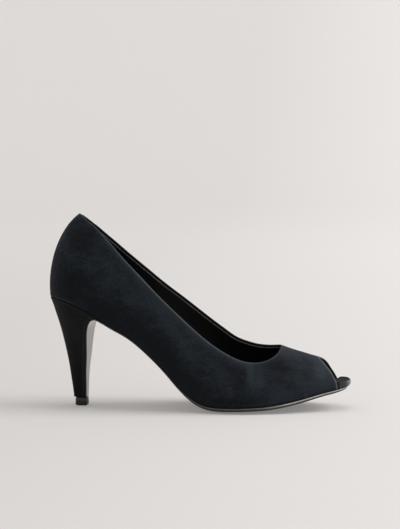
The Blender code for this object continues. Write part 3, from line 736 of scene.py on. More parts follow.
def build_outsole(look):
    """The sole sheet with its edge, carried round the corner and down the breast."""
    sheet = Sheet()
    s = stations(FLAP_JOIN_S, (0, 130, 44))
    shares = np.array([0.0, 0.15, 0.3, 0.45, 0.6, 0.75, 0.88, 0.96])
    levels = np.linspace(1, 0, 64)
    # Round of the edge: how far in and how far down, as a share of the thickness
    edge = [(0.30, 1.0), (0.10, 0.96), (0.0, 0.86), (0.0, 0.62), (0.0, 0.45), (0.05, 0.42),
            (0.0, 0.38), (0.0, 0.14), (0.06, 0.04), (0.16, 0.0)]
    paint = [0.0, 0.0, 0.06, 0.08, 0.10, 0.0, 0.85, 1.0, 0.9, 0.0]
    for side in (OUTER, INNER):
        half = half_width(s, side)
        reach = half + under("step", s)
        share_out = reach / half
        thick = under("sole", s)
        centre_thick = under("sole", np.clip(s, HEEL_TURN_X, TOE_TURN_X))
        low_z = seat(s, share_out, side)[:, 2]
        profile = []
        for share in shares:
            point = seat(s, share * share_out, side)
            point[:, 2] -= GAP + centre_thick + (thick - centre_thick) * share
            profile.append(point)
        for inset, height in edge:
            point = seat(s, share_out, side, out=reach - inset)
            point[:, 2] = low_z - GAP - height * thick + (SOLE_LIFT if height == 0.0 else 0.0)
            profile.append(point)
        for share in shares[::-1]:
            point = seat(s, share * share_out, side)
            point[:, 2] -= GAP - SOLE_LIFT
            profile.append(point)
        body = np.stack(profile, 1)
        body[..., 2] = np.maximum(body[..., 2], 0.0)
        # The flap has the same profile, turned with the breast line
        flap_half = heel_level("half", levels) - FLAP_INSET
        outer_x, outer_z = breast(levels, 0.0)
        inner_x, inner_z = breast(levels, FLAP)
        n = len(shares)
        widths = np.concatenate([shares, np.ones(len(edge)), shares[::-1]])
        trim = np.concatenate([np.zeros(n), [e[0] for e in edge], np.zeros(n)])
        depth = np.concatenate([np.zeros(n), [1 - e[1] for e in edge], np.ones(n)])
        x = outer_x[:, None] + (inner_x - outer_x)[:, None] * depth
        z = outer_z[:, None] + (inner_z - outer_z)[:, None] * depth
        y = side * (flap_half[:, None] * widths - trim)
        flap = np.stack([x, y, z], -1)
        points = np.concatenate([flap[::-1], body])
        # The paint fades out where the sole turns down the breast
        strength = np.concatenate([np.interp(levels[::-1], (0.8, 1), (0, SOLE_PAINT[1][0])),
                                   np.interp(s, *SOLE_PAINT)])
        tone = np.zeros(points.shape[:2] + (2,))
        tone[:, n:n + len(edge), 0] = strength[:, None] * np.array(paint)[None, :]
        tone[:, n:n + len(edge), 1] = 1.0
        sheet.grid(points, tone)
        sheet.cap(flap[-1])
    return sheet.make("outsole_gloss", look)


def build_heel(look):
    """The heel block in its suede cover, with the rolled upper edge of the cover."""
    sheet = Sheet()
    levels = np.concatenate([np.linspace(0, 0.6, 36), np.linspace(0.6, 1, 40)[1:]])
    shares = np.array([0.0, 0.2, 0.4, 0.6, 0.75, 0.86, 0.94, 0.98])
    n = len(shares)
    depth = FLAP + GAP * 0.5
    front_s = float(breast(np.array([1.0]), depth)[0][0])
    around = np.concatenate([np.linspace(front_s, HEEL_TURN_X, 10)[:-1],
                             np.linspace(HEEL_TURN_X, BACK, 44)])
    for side in (OUTER, INNER):
        front_x, front_z = breast(levels, depth)
        back_x, back_z = heel_level("x_back", levels), heel_level("z_back", levels)
        half = heel_level("half", levels)
        power = 2 / heel_level("square", levels)
        turn_x = front_x + (back_x - front_x) * (0.12 + 0.09 * levels)
        rows = []
        for k in range(len(levels)):
            ring = [(front_x[k], side * half[k] * share, front_z[k]) for share in shares]
            for s in around:
                if s >= HEEL_TURN_X:
                    share = (s - HEEL_TURN_X) / (front_s - HEEL_TURN_X)
                    x, y = turn_x[k] + (front_x[k] - turn_x[k]) * share, half[k]
                else:
                    angle = (HEEL_TURN_X - s) / HEEL_TURN_R
                    x = turn_x[k] + (back_x[k] - turn_x[k]) * math.sin(angle) ** power[k]
                    y = half[k] * max(math.cos(angle), 0.0) ** power[k]
                back = (front_x[k] - x) / (front_x[k] - back_x[k])
                ring.append((x, side * y, front_z[k] + (back_z[k] - front_z[k]) * back))
            rows.append(np.array(ring))
        # The upper end follows the bottom of the last
        top = np.concatenate([seat(np.full(n, front_s), shares, side), seat(around, 1.0, side)])
        top[:, 2] -= GAP * 0.7
        fit = np.clip((levels - 0.5) / 0.5, 0, 1) ** 3
        miss = top - rows[-1]
        rows = [row + miss * fit[k] for k, row in enumerate(rows)]
        # The rolled rim: the last rows turn inwards
        rim = []
        centre = np.array([HEEL_TURN_X, 0.0])
        for angle in np.linspace(0, math.pi / 2, 7):
            row = top.copy()
            to_side = np.zeros((len(row), 2))
            to_side[n:] = row[n:, :2] - np.where(
                around[:, None] > HEEL_TURN_X, np.stack([around, np.zeros(len(around))], 1), centre)
            size = np.linalg.norm(to_side, axis=1, keepdims=True)
            to_side = to_side / np.where(size > 0, size, 1)
            row[:, :2] -= to_side * HEEL_RIM * (1 - math.cos(angle))
            row[:, 2] -= HEEL_RIM * (1 - math.sin(angle))
            rim.append(row)
        rows = [row for row in rows[:-1] if row[-1, 2] < top[-1, 2] - HEEL_RIM - 0.15] + rim
        points = np.stack(rows)
        x, z = points[..., 0], points[..., 2]
        # Rubbed pale along the rim at the back, and down the edge beside the breast: wear with a
        # painted highlight
        edge = 0.55 * bell((top[None, :, 2] - z, 0.9, 0.4)) * (1 - np.clip((x + 5) / 15, 0, 1))
        behind = points[:, n:n + 1, 0] - x
        edge += 0.5 * bell((behind, 0.9, 0.8)) * (np.abs(points[..., 1]) > 3)
        # Painted shade: darker towards the ground and under the waist at the top of the breast
        nap = -0.9 * bell((z, 0, 30)) - 0.8 * bell((x, 15, 11), (z, 66, 10))
        sheet.grid(points, np.stack([edge, nap], -1))
        cap = []
        for j in range(len(around)):
            spine = seat(around[j], 0.0, side)
            spine[2] -= GAP * 0.7
            cap.append(spine + (points[-1, n + j] - spine) * np.linspace(0, 1, 6)[:, None])
        first = np.stack(cap)
        sheet.grid(first)
        sheet.cap(np.concatenate([points[-1, :n + 1], first[0][::-1][1:-1]]))
        if side == OUTER:
            bottom = points[0]
        else:
            sheet.cap(np.concatenate([bottom, points[0][::-1][1:-1]]))
    return sheet.make("heel_covered", look)


# The top piece from the ground up: height, how far it stands back, how pale its edge is
TIP_LEVELS = ((0.0, 0.45, 0.6), (0.12, 0.22, 0.8), (0.4, 0.05, 0.5), (0.8, 0.0, 0), (2.6, 0.0, 0),
              (4.2, 0.05, 0.6), (5.0, 0.10, 1), (5.25, 0.30, 0.2), (5.45, 0.36, 0),
              (TIP_HEIGHT, 0.36, 0))
TIP_CORNER = 0.8     # radius of its front corners


def build_tip(look):
    """The moulded top piece with its small bevels and a fine step below the cover."""
    sheet = Sheet()
    turn = TIP_FRONT - 3.0
    bend = [(math.cos(a) - 1, math.sin(a) - 1) for a in np.linspace(0, math.pi / 2, 5)]
    rings = []
    for height, inset, _ in TIP_LEVELS:
        front, half = TIP_FRONT - inset, TIP_HALF - inset
        ring = [[(front + TIP_CORNER * x, side * (half + TIP_CORNER * y), height)
                 for x, y in bend] for side in (OUTER, INNER)]
        arc = []
        for a in np.linspace(0, math.pi, 41):
            x = turn + (TIP_BACK + inset - turn) * math.sin(a) ** 0.8
            arc.append((x, -half * math.copysign(abs(math.cos(a)) ** 0.8, math.cos(a)), height))
        rings.append(np.array(ring[0] + arc + ring[1][::-1]))
    closed = np.stack([np.concatenate([ring, ring[:1]]) for ring in rings])
    tone = np.zeros(closed.shape[:2] + (2,))
    tone[..., 0] = np.array([level[2] for level in TIP_LEVELS])[:, None]
    sheet.grid(closed, tone)
    sheet.cap(rings[0])
    sheet.cap(rings[-1])
    return sheet.make("tip_moulded", look)


# ---------------------------------------------------------------- what follows an edge

def socket_of(tree, name):
    for item in tree.interface.items_tree:
        if item.item_type == "SOCKET" and item.in_out == "INPUT" and item.name == name:
            return item.identifier
    raise RuntimeError("%s has no input %s" % (tree.name, name))


def stitch_tree():
    """Short rounded stitches, end to end along an edge."""
    tree, bench, given = new_tree("Stitches along an edge", "GeometryNodeTree", (
        ("Geometry", "Geometry"),
        ("Pitch", "Float", 0.0024),
        ("Stitch length", "Float", 0.0017),
        ("Thread", "Float", 0.00035),
        ("Look", "Material"),
    ), (("Geometry", "Geometry"),))
    curve = bench.add("GeometryNodeMeshToCurve", {"Mesh": given["Geometry"]})
    points = bench.add("GeometryNodeResampleCurve", {
        "Curve": curve.outputs[0], "Length": given["Pitch"]}, mode="LENGTH")
    stitch = bench.add("GeometryNodeMeshUVSphere", {"Segments": 7, "Rings": 5, "Radius": 0.5})
    way = bench.add("GeometryNodeInputTangent")
    turned = bench.add("FunctionNodeAlignRotationToVector", {"Vector": way.outputs[0]}, axis="X")
    thread = given["Thread"]
    size = bench.add("ShaderNodeCombineXYZ", {
        "X": given["Stitch length"], "Y": thread, "Z": thread})
    laid = bench.add("GeometryNodeInstanceOnPoints", {
        "Points": points.outputs[0], "Instance": stitch.outputs[0],
        "Rotation": turned.outputs[0], "Scale": size.outputs[0]})
    bench.finish_geometry(laid.outputs[0], given["Look"])
    return tree


def grow_along(name, points, tree, values, look):
    """Runs a tree on a closed line of points and keeps the result as a plain mesh."""
    data = bpy.data.meshes.new(name + "_path")
    count = len(points)
    edges = [(i, (i + 1) % count) for i in range(count)]
    data.from_pydata([tuple(c * MM for c in p) for p in points], edges, [])
    path = bpy.data.objects.new(name + "_path", data)
    bpy.context.scene.collection.objects.link(path)
    modifier = path.modifiers.new("grow", "NODES")
    modifier.node_group = tree
    modifier[socket_of(tree, "Look")] = look
    for label, value in values.items():
        modifier[socket_of(tree, label)] = value
    depsgraph = bpy.context.evaluated_depsgraph_get()
    made = bpy.data.meshes.new_from_object(path.evaluated_get(depsgraph))
    path.modifiers.remove(modifier)
    bpy.data.objects.remove(path, do_unlink=True)
    if not made.polygons:
        raise RuntimeError("%s came out empty" % name)
    made.name = name
    for face in made.polygons:
        face.use_smooth = True
    return placed(name, made, look)


def collar_line(depth, drop):
    """A closed line round the collar, at a depth in the wall and below the lining's edge."""
    lines = []
    for side in (OUTER, INNER):
        s, t = upper_layout(side)["collar"]
        s, t = s[:, 0], t[:, 0]
        _, up, _ = last_slopes(s, t, side)
        t = t - drop / np.linalg.norm(up, axis=-1)
        _, _, normal = last_slopes(s, t, side)
        lines.append(last_point(s, t, side) - depth * normal)
    return np.concatenate([lines[0], lines[1][::-1][1:-1]])


# ---------------------------------------------------------------- finishes

class Bench:
    """Adds nodes to a tree and wires them."""

    def __init__(self, tree):
        self.tree = tree

    def wire(self, node, inputs):
        """Links or sets a node's inputs."""
        for name, value in inputs.items():
            socket = node.inputs[name]
            if isinstance(value, bpy.types.NodeSocket):
                self.tree.links.new(value, socket)
            else:
                socket.default_value = value
        return node

    def add(self, kind, inputs=None, **settings):
        made = self.tree.nodes.new(kind)
        for name, value in settings.items():
            setattr(made, name, value)
        return self.wire(made, inputs or {})

    def group(self, tree, inputs):
        return self.add("ShaderNodeGroup", inputs, node_tree=tree).outputs

    def tone(self, name):
        """One of the two tones that each mesh carries, edge or nap."""
        return self.add("ShaderNodeAttribute", attribute_name=name).outputs["Fac"]

    def bump(self, height, strength, distance):
        return self.add("ShaderNodeBump", {
            "Height": height, "Strength": strength, "Distance": distance}).outputs[0]

    def math(self, operation, a, b=0.5, clamp=False):
        return self.add("ShaderNodeMath", {0: a, 1: b},
                        operation=operation, use_clamp=clamp).outputs[0]

    def noise(self, vector, scale, detail=2.0, rough=0.5, distortion=0.0):
        return self.add("ShaderNodeTexNoise", {
            "Vector": vector, "Scale": scale, "Detail": detail, "Roughness": rough,
            "Distortion": distortion}).outputs["Fac"]

    def mix(self, factor, a, b, blend="MIX"):
        return self.add("ShaderNodeMix", {0: factor, 6: a, 7: b},
                        data_type="RGBA", blend_type=blend).outputs[2]

    def spread(self, value, low, high, to_low=0.0, to_high=1.0):
        return self.add("ShaderNodeMapRange", {
            "Value": value, "From Min": low, "From Max": high,
            "To Min": to_low, "To Max": to_high}).outputs[0]

    def finish_geometry(self, geometry, look):
        real = self.add("GeometryNodeRealizeInstances", {0: geometry})
        coloured = self.add("GeometryNodeSetMaterial", {
            "Geometry": real.outputs[0], "Material": look})
        self.add("NodeGroupOutput", {"Geometry": coloured.outputs[0]})


def new_tree(name, kind, inputs, outputs):
    """A named node group with its sockets, a bench to fill it on, and its inputs."""
    tree = bpy.data.node_groups.new(name, kind)
    for way, sockets in (("INPUT", inputs), ("OUTPUT", outputs)):
        for label, values, *default in sockets:
            made = tree.interface.new_socket(label, in_out=way, socket_type="NodeSocket" + values)
            if default:
                made.default_value = default[0]
    bench = Bench(tree)
    return tree, bench, bench.add("NodeGroupInput").outputs


def rgba(colour, times=1.0):
    return (*(c * times for c in colour), 1.0)


def suede_group():
    """Brushed nap: soft patches, fine flecks and fibres, with painted light and shade from Tone."""
    tree, bench, given = new_tree("Suede nap", "ShaderNodeTree", (
        ("Vector", "Vector"),
        ("Tone", "Float", 0.0),
        ("Edge", "Float", 0.0),
        ("Deep", "Color"),
        ("Light", "Color"),
        ("Worn", "Color"),
        ("Patch", "Float", 100.0),
        ("Contrast", "Float", 1.0),
    ), (("Color", "Color"), ("Roughness", "Float"),
        ("Height", "Float")))
    vector = given["Vector"]
    stretched = bench.add("ShaderNodeMapping", {"Vector": vector, "Scale": (0.55, 1.0, 1.0),
                                                "Rotation": (0.0, 0.6, 0.0)}).outputs[0]
    patch = bench.noise(stretched, given["Patch"], 3.0, 0.6, 0.25)
    brushed = bench.noise(stretched, 290.0, 4.0, 0.68, 0.2)
    fleck = bench.noise(vector, 1150.0, 3.0, 0.7)
    fibre = bench.noise(vector, 3600.0, 2.0, 0.65)
    shade = bench.spread(patch, 0.3, 0.7, -0.5, 0.5)
    shade = bench.math("MULTIPLY", shade, given["Contrast"])
    shade = bench.math("ADD", shade, bench.math("MULTIPLY", given["Tone"], 0.62))
    shade = bench.math("ADD", shade, bench.spread(brushed, 0.3, 0.7, -0.2, 0.2))
    shade = bench.math("ADD", shade, bench.spread(fleck, 0.3, 0.7, -0.42, 0.42))
    shade = bench.math("ADD", shade, 0.5, clamp=True)
    colour = bench.mix(shade, given["Deep"], given["Light"])
    # The dye drifts from a greener blue at the back to a redder one over the forefoot
    forward = bench.add("ShaderNodeSeparateXYZ", {"Vector": vector}).outputs["X"]
    drift = bench.math("ADD", bench.spread(forward, 0.09, 0.14, 0.1, 0.75),
                       bench.spread(bench.noise(vector, 130.0), 0.35, 0.65, -0.4, 0.4), clamp=True)
    redder = bench.mix(1.0, colour, (1.16, 0.97, 1.0, 1.0), "MULTIPLY")
    colour = bench.mix(drift, colour, redder)
    # Edge mixes in the worn colour: rubbed wear with a painted highlight on the folds and the lip
    worn = bench.math("MULTIPLY", given["Edge"],
                      bench.spread(fleck, 0.25, 0.75, 0.55, 1.15), clamp=True)
    colour = bench.mix(worn, colour, given["Worn"])
    height = bench.math("ADD", bench.math("MULTIPLY", fibre, 0.6),
                        bench.math("MULTIPLY", fleck, 0.4))
    bench.add("NodeGroupOutput", {
        "Color": colour, "Roughness": bench.spread(shade, 0.0, 1.0, 0.92, 0.80), "Height": height})
    return tree


def grain_group():
    """Fine leather grain: small cells with creases between them."""
    tree, bench, given = new_tree("Leather grain", "ShaderNodeTree", (
        ("Vector", "Vector"),
        ("Size", "Float", 900.0),
    ), (("Shade", "Float"), ("Height", "Float")))
    cells = bench.add("ShaderNodeTexVoronoi", {"Vector": given["Vector"], "Scale": given["Size"]},
                      feature="DISTANCE_TO_EDGE").outputs["Distance"]
    soft = bench.noise(given["Vector"], 160.0, 3.0, 0.6)
    bench.add("NodeGroupOutput", {"Shade": soft, "Height": bench.spread(cells, 0.0, 0.25)})
    return tree


def scuff_group():
    """Handling marks on gloss: faint clouding, fine scratches and dust."""
    tree, bench, given = new_tree("Scuffed gloss", "ShaderNodeTree", (
        ("Vector", "Vector"),
        ("Amount", "Float", 1.0),
    ), (("Roughness", "Float"), ("Mark", "Float"),
        ("Height", "Float")))
    cloud = bench.noise(given["Vector"], 60.0, 3.0, 0.6)
    long_way = bench.add("ShaderNodeMapping", {
        "Vector": given["Vector"], "Scale": (0.12, 1.6, 1.0)}).outputs[0]
    scratch = bench.spread(bench.noise(long_way, 1500.0, 2.0, 0.7), 0.62, 0.78)
    mark = bench.math("MULTIPLY", scratch, given["Amount"], clamp=True)
    rough = bench.math("ADD", bench.spread(cloud, 0.3, 0.7, 0.10, 0.20),
                       bench.math("MULTIPLY", mark, 0.18))
    height = bench.math("ADD", cloud, bench.math("MULTIPLY", mark, -0.3))
    bench.add("NodeGroupOutput", {"Roughness": rough, "Mark": mark, "Height": height})
    return tree


def new_look(name):
    """A material, a bench for its nodes, its Principled shader and the object coordinates."""
    look = bpy.data.materials.new(name)
    look.use_nodes = True
    bench = Bench(look.node_tree)
    place = bench.add("ShaderNodeTexCoord").outputs["Object"]
    return look, bench, look.node_tree.nodes["Principled BSDF"], place


def nap_of(bench, place, suede, tone):
    """The nap group with one suede's colours."""
    return bench.group(groups()["suede"], {
        "Vector": place, "Tone": tone, "Edge": bench.tone("edge"),
        "Deep": rgba(suede.deep), "Light": rgba(suede.light), "Worn": rgba(suede.worn),
        "Patch": suede.patch, "Contrast": suede.contrast})


def suede_look(name, suede):
    look, bench, shader, place = new_look(name)
    nap = nap_of(bench, place, suede, bench.tone("nap"))
    bench.wire(shader, {
        "Base Color": nap["Color"], "Roughness": nap["Roughness"],
        "Normal": bench.bump(nap["Height"], 0.85, suede.depth),
        "Sheen Weight": suede.sheen, "Sheen Roughness": 0.45,
        "Sheen Tint": (0.55, 0.66, 0.78, 1.0), "Specular IOR Level": 0.18})
    return look


def insole_look(name, suede):
    """Suede on the lip, smooth dark leather on the sock."""
    look, bench, shader, place = new_look(name)
    nap = nap_of(bench, place, suede, 0.0)
    leather = bench.group(groups()["grain"], {"Vector": place, "Size": 1100.0})
    lip = bench.tone("nap")
    sock = bench.mix(leather["Shade"], (0.004, 0.0038, 0.0036, 1), (0.009, 0.0085, 0.008, 1))
    height = bench.math("ADD", bench.math("MULTIPLY", leather["Height"], 0.5),
                        bench.math("MULTIPLY", nap["Height"], 0.8))
    bench.wire(shader, {
        "Base Color": bench.mix(lip, sock, nap["Color"]),
        "Roughness": bench.spread(lip, 0, 1, 0.5, 0.85),
        "Normal": bench.bump(height, 0.5, 0.00012), "Specular IOR Level": 0.3})
    return look


def lining_look(name, colour, cut_colour):
    """Dark lining leather with the pale raw edge where it was cut."""
    look, bench, shader, place = new_look(name)
    leather = bench.group(groups()["grain"], {"Vector": place, "Size": 1000.0})
    shade = bench.mix(leather["Shade"], rgba(colour, 0.6), rgba(colour, 1.5))
    bench.wire(shader, {
        "Base Color": bench.mix(bench.tone("edge"), shade, rgba(cut_colour)),
        "Roughness": bench.spread(leather["Shade"], 0.3, 0.7, 0.62, 0.5),
        "Normal": bench.bump(leather["Height"], 0.4, 0.00010), "Specular IOR Level": 0.25})
    return look


def sole_look(name, colour, edge_colour):
    """Glossy sole sheet, with paint on its edge."""
    look, bench, shader, place = new_look(name)
    marks = bench.group(groups()["scuffs"], {"Vector": place, "Amount": 0.5})
    worn = bench.mix(marks["Mark"], rgba(colour), rgba(colour, 2.2))
    dirt = bench.spread(bench.noise(place, 260.0, 3.0, 0.6), 0.35, 0.65, 0.75, 1.1)
    paint = bench.math("MULTIPLY", bench.tone("edge"), dirt, clamp=True)
    duller = bench.math("MULTIPLY", bench.tone("nap"), 0.35)
    bench.wire(shader, {
        "Base Color": bench.mix(paint, worn, rgba(edge_colour)),
        "Roughness": bench.math("ADD", marks["Roughness"], duller),
        "Normal": bench.bump(marks["Height"], 0.12, 0.0002), "Coat Weight": 0.15,
        "Coat Roughness": 0.08, "Specular IOR Level": 0.3})
    return look


def rubber_look(name, colour):
    """Dull rubber with paler rubbed edges."""
    look, bench, shader, place = new_look(name)
    speck = bench.noise(place, 1800.0, 3.0, 0.6)
    cloud = bench.spread(bench.noise(place, 300.0, 3.0, 0.6), 0.3, 0.7)
    shade = bench.mix(cloud, rgba(colour, 0.75), rgba(colour, 1.3))
    edge = bench.math("MULTIPLY", bench.tone("edge"), 0.8)
    bench.wire(shader, {
        "Base Color": bench.mix(edge, shade, (0.060, 0.060, 0.063, 1)),
        "Roughness": bench.spread(speck, 0.3, 0.7, 0.42, 0.58),
        "Normal": bench.bump(speck, 0.25, 0.00015), "Specular IOR Level": 0.3})
    return look


def thread_look(name, colour):
    """Twisted thread."""
    look, bench, shader, place = new_look(name)
    twist = bench.add("ShaderNodeTexWave", {
        "Vector": place, "Scale": 900.0, "Distortion": 1.5}).outputs["Fac"]
    bench.wire(shader, {
        "Base Color": bench.mix(twist, rgba(colour, 0.6), rgba(colour)),
        "Roughness": bench.spread(twist, 0, 1, 0.5, 0.65),
        "Normal": bench.bump(twist, 0.5, 0.0001)})
    return look


def floor_look(name, colour, glow):
    """Pale studio paper with some light of its own, painted darker to the left, in front and far
    right.
    """
    look, bench, shader, place = new_look(name)
    cloud = bench.noise(place, 1.1)
    spot = bench.add("ShaderNodeSeparateXYZ", {"Vector": place}).outputs
    # Painted shade of the light's fall-off: darker to the left, in front and at the far right
    level = bench.spread(spot["X"], -0.15, 0.40, 0.92, 1.13)
    for factor in (bench.spread(spot["Y"], -0.6, 0.0, 0.95, 1.0),
                   bench.spread(spot["X"], 0.6, 2.5, 1.0, 0.75),
                   bench.spread(cloud, 0.35, 0.65, 0.985, 1.0)):
        level = bench.math("MULTIPLY", level, factor)
    bench.wire(shader, {
        "Base Color": bench.mix(bench.spread(level, 0.85, 1.15), rgba(colour, 0.85),
                                rgba(colour, 1.15)),
        "Roughness": bench.spread(cloud, 0.0, 1.0, 0.9, 1.0),
        "Normal": bench.bump(bench.noise(place, 900.0, 2.0, 0.6), 0.05, 0.0002),
        "Emission Color": (1.0, 0.965, 0.945, 1.0), "Emission Strength": glow,
        "Specular IOR Level": 0.1})
    return look


# ---------------------------------------------------------------- settings

def colour_setting(name, description, default):
    return bpy.props.FloatVectorProperty(
        name=name, description=description, subtype="COLOR", size=3, min=0, max=1, default=default)


def number_setting(name, description, default, low, high, **kind):
    return bpy.props.FloatProperty(
        name=name, description=description, default=default, min=low, max=high, **kind)


LENGTH = {"subtype": "DISTANCE", "unit": "LENGTH"}
POWER = {"subtype": "POWER", "unit": "POWER"}


class SuedeSettings(bpy.types.PropertyGroup):
    """Colours and nap of one suede."""
    deep: colour_setting(
        "Deep", "Colour where the nap lies away from the light", (0.0042, 0.0058, 0.0084))
    light: colour_setting(
        "Light", "Colour where the nap stands towards the light", (0.0166, 0.0262, 0.0345))
    # The worn colour stands for rubbed wear with a painted highlight along the folds
    worn: colour_setting(
        "Worn edge", "Colour of the rubbed fold along the edges", (0.170, 0.195, 0.205))
    patch: number_setting(
        "Patch scale", "How many brushed patches there are in a metre", 95.0, 10.0, 1000.0)
    contrast: number_setting(
        "Patch contrast", "How strongly the brushed patches show", 0.5, 0.0, 3.0)
    sheen: number_setting(
        "Sheen", "Soft glow of the nap at a low angle", 0.03, 0.0, 1.0, subtype="FACTOR")
    depth: number_setting("Nap depth", "Height of the fibres", 0.00050, 0.0, 0.002, **LENGTH)


class TrimSettings(bpy.types.PropertyGroup):
    """Lining, sole, tip and thread."""
    lining: colour_setting("Lining", "Colour of the lining leather", (0.0045, 0.0040, 0.0038))
    cut_edge: colour_setting("Cut edge", "Colour of the lining's raw edge", (0.36, 0.36, 0.365))
    sole: colour_setting("Sole", "Colour of the glossy sole sheet", (0.012, 0.011, 0.0105))
    sole_edge: colour_setting(
        "Sole edge", "Colour of the pale band on the sole's edge", (0.50, 0.475, 0.44))
    tip: colour_setting("Tip", "Colour of the heel's top piece", (0.0065, 0.0065, 0.007))
    thread: colour_setting(
        "Thread", "Colour of the stitches inside the collar", (0.018, 0.020, 0.024))
    pitch: number_setting(
        "Stitch pitch", "From one stitch to the next", 0.0024, 0.001, 0.01, **LENGTH)
    thread_size: number_setting(
        "Thread size", "Thickness of the thread", 0.00032, 0.0001, 0.001, **LENGTH)


class StageSettings(bpy.types.PropertyGroup):
    """Floor, lights and camera."""
    floor: colour_setting("Floor", "Colour of the studio paper", (0.590, 0.570, 0.556))
    glow: number_setting(
        "Floor glow", "Light that the paper gives by itself, which softens the shadow",
        0.20, 0.0, 2.0)
    sky: number_setting(
        "Room light", "Strength of the even light from all round", 0.39, 0.0, 5.0)
    key: number_setting(
        "Key light", "Power of the large soft light at the right", 28.0, 0.0, 500.0, **POWER)
    wall: number_setting(
        "Wall light", "Power of each light that is turned to the wall", 31.0, 0.0, 500.0, **POWER)
    lens: number_setting(
        "Lens", "Focal length of the camera on a 36 mm sensor", 140.8, 10.0, 500.0,
        subtype="DISTANCE_CAMERA")


# ---------------------------------------------------------------- operators

class SHOE_OT_upper(bpy.types.Operator):
    """Make the suede upper with its folded edges and lasted margin"""
    bl_idname = "shoe.upper"
    bl_label = "Upper"

    def execute(self, context):
        look = suede_look("Navy suede", context.scene.pump_suede)
        ride_as(build_upper(look), "navy_suede", "upper")
        return {"FINISHED"}


class SHOE_OT_lining(bpy.types.Operator):
    """Make the lining with its cut edge"""
    bl_idname = "shoe.lining"
    bl_label = "Lining"

    def execute(self, context):
        trim = context.scene.pump_trim
        look = lining_look("Lining leather", trim.lining, trim.cut_edge)
        ride_as(build_lining(look), "insole_suede")
        return {"FINISHED"}


class SHOE_OT_stitches(bpy.types.Operator):
    """Sew the lining down along the collar"""
    bl_idname = "shoe.stitches"
    bl_label = "Collar stitches"

    def execute(self, context):
        trim = context.scene.pump_trim
        line = collar_line(WALL - 0.02, 1.2)
        sizes = {"Pitch": trim.pitch, "Stitch length": trim.pitch * 0.72,
                 "Thread": trim.thread_size}
        look = thread_look("Thread", trim.thread)
        ride_as(grow_along("collar_stitches", line, stitch_tree(), sizes, look), "navy_suede")
        return {"FINISHED"}


class SHOE_OT_insole(bpy.types.Operator):
    """Make the insole with its sock and covered lip"""
    bl_idname = "shoe.insole"
    bl_label = "Insole"

    def execute(self, context):
        look = insole_look("Insole cover", context.scene.pump_lip)
        ride_as(build_insole(look), "insole_suede", "insole")
        return {"FINISHED"}


class SHOE_OT_outsole(bpy.types.Operator):
    """Make the glossy sole and the flap down the breast"""
    bl_idname = "shoe.outsole"
    bl_label = "Outsole"

    def execute(self, context):
        trim = context.scene.pump_trim
        look = sole_look("Sole gloss", trim.sole, trim.sole_edge)
        ride_as(build_outsole(look), "sole_gloss", "outsole")
        return {"FINISHED"}


class SHOE_OT_heel(bpy.types.Operator):
    """Make the heel in its suede cover"""
    bl_idname = "shoe.heel"
    bl_label = "Heel"

    def execute(self, context):
        look = suede_look("Heel suede", context.scene.pump_heel)
        ride_as(build_heel(look), "heel_suede", "heel")
        return {"FINISHED"}


class SHOE_OT_tip(bpy.types.Operator):
    """Make the moulded top piece under the heel"""
    bl_idname = "shoe.tip"
    bl_label = "Heel tip"

    def execute(self, context):
        piece = build_tip(rubber_look("Tip rubber", context.scene.pump_trim.tip))
        piece.data.set_sharp_from_angle(angle=math.radians(40))
        ride_as(piece, "tip_rubber", "heel_tip")
        return {"FINISHED"}


# The stage, in metres
BOWL_X, BOWL_FLAT, BOWL_TURN = 0.09, 2.3, 1.4
FLOOR_DROP = 0.0002  # keeps the floor just clear of the sole
CAMERA_PLACE, CAMERA_AIM = (0.261697, -1.489756, 0.235), (0.086691, 0.0, 0.104418)
# Name, place, aim, size and share of the key light's power
SHOE_LIGHTS = (("key_right", (1.9, 0.15, 1.45), (0.12, 0.0, 0.05), (1.3, 1.3), 1.0),
               ("top_light", (0.3, 0.1, 2.0), (0.1, 0.0, 0.05), (1.2, 1.0), 0.25))
WALL_TURNS = (68, 158, 248, 338)


def studio_bowl(look):
    """A round floor that turns up into a low wall on all sides."""
    profile = [(0.5, 0.0), (1.4, 0.0), (BOWL_FLAT, 0.0)]
    for a in np.linspace(0, math.pi / 2, 17)[1:]:
        profile.append((BOWL_FLAT + BOWL_TURN * math.sin(a), BOWL_TURN * (1 - math.cos(a))))
    build = bmesh.new()
    around = 96
    turns = [2 * math.pi * k / around for k in range(around)]
    rings = [[build.verts.new((radius * math.cos(a) + BOWL_X, radius * math.sin(a),
                               height - FLOOR_DROP)) for a in turns]
             for radius, height in profile]
    build.faces.new(rings[0])
    for low, high in zip(rings, rings[1:]):
        for k in range(around):
            after = (k + 1) % around
            build.faces.new((low[k], low[after], high[after], high[k]))
    for face in build.faces:
        face.smooth = len(face.verts) == 4
    data = bpy.data.meshes.new("studio_floor")
    build.to_mesh(data)
    build.free()
    return placed("studio_floor", data, look)


def soft_light(name, place, aim, size, power):
    data = bpy.data.lights.new(name, "AREA")
    data.shape = "RECTANGLE"
    data.size, data.size_y = size
    data.energy = power
    obj = bpy.data.objects.new(name, data)
    obj.location = place
    obj.rotation_euler = (Vector(aim) - Vector(place)).to_track_quat("-Z", "Y").to_euler()
    bpy.context.scene.collection.objects.link(obj)


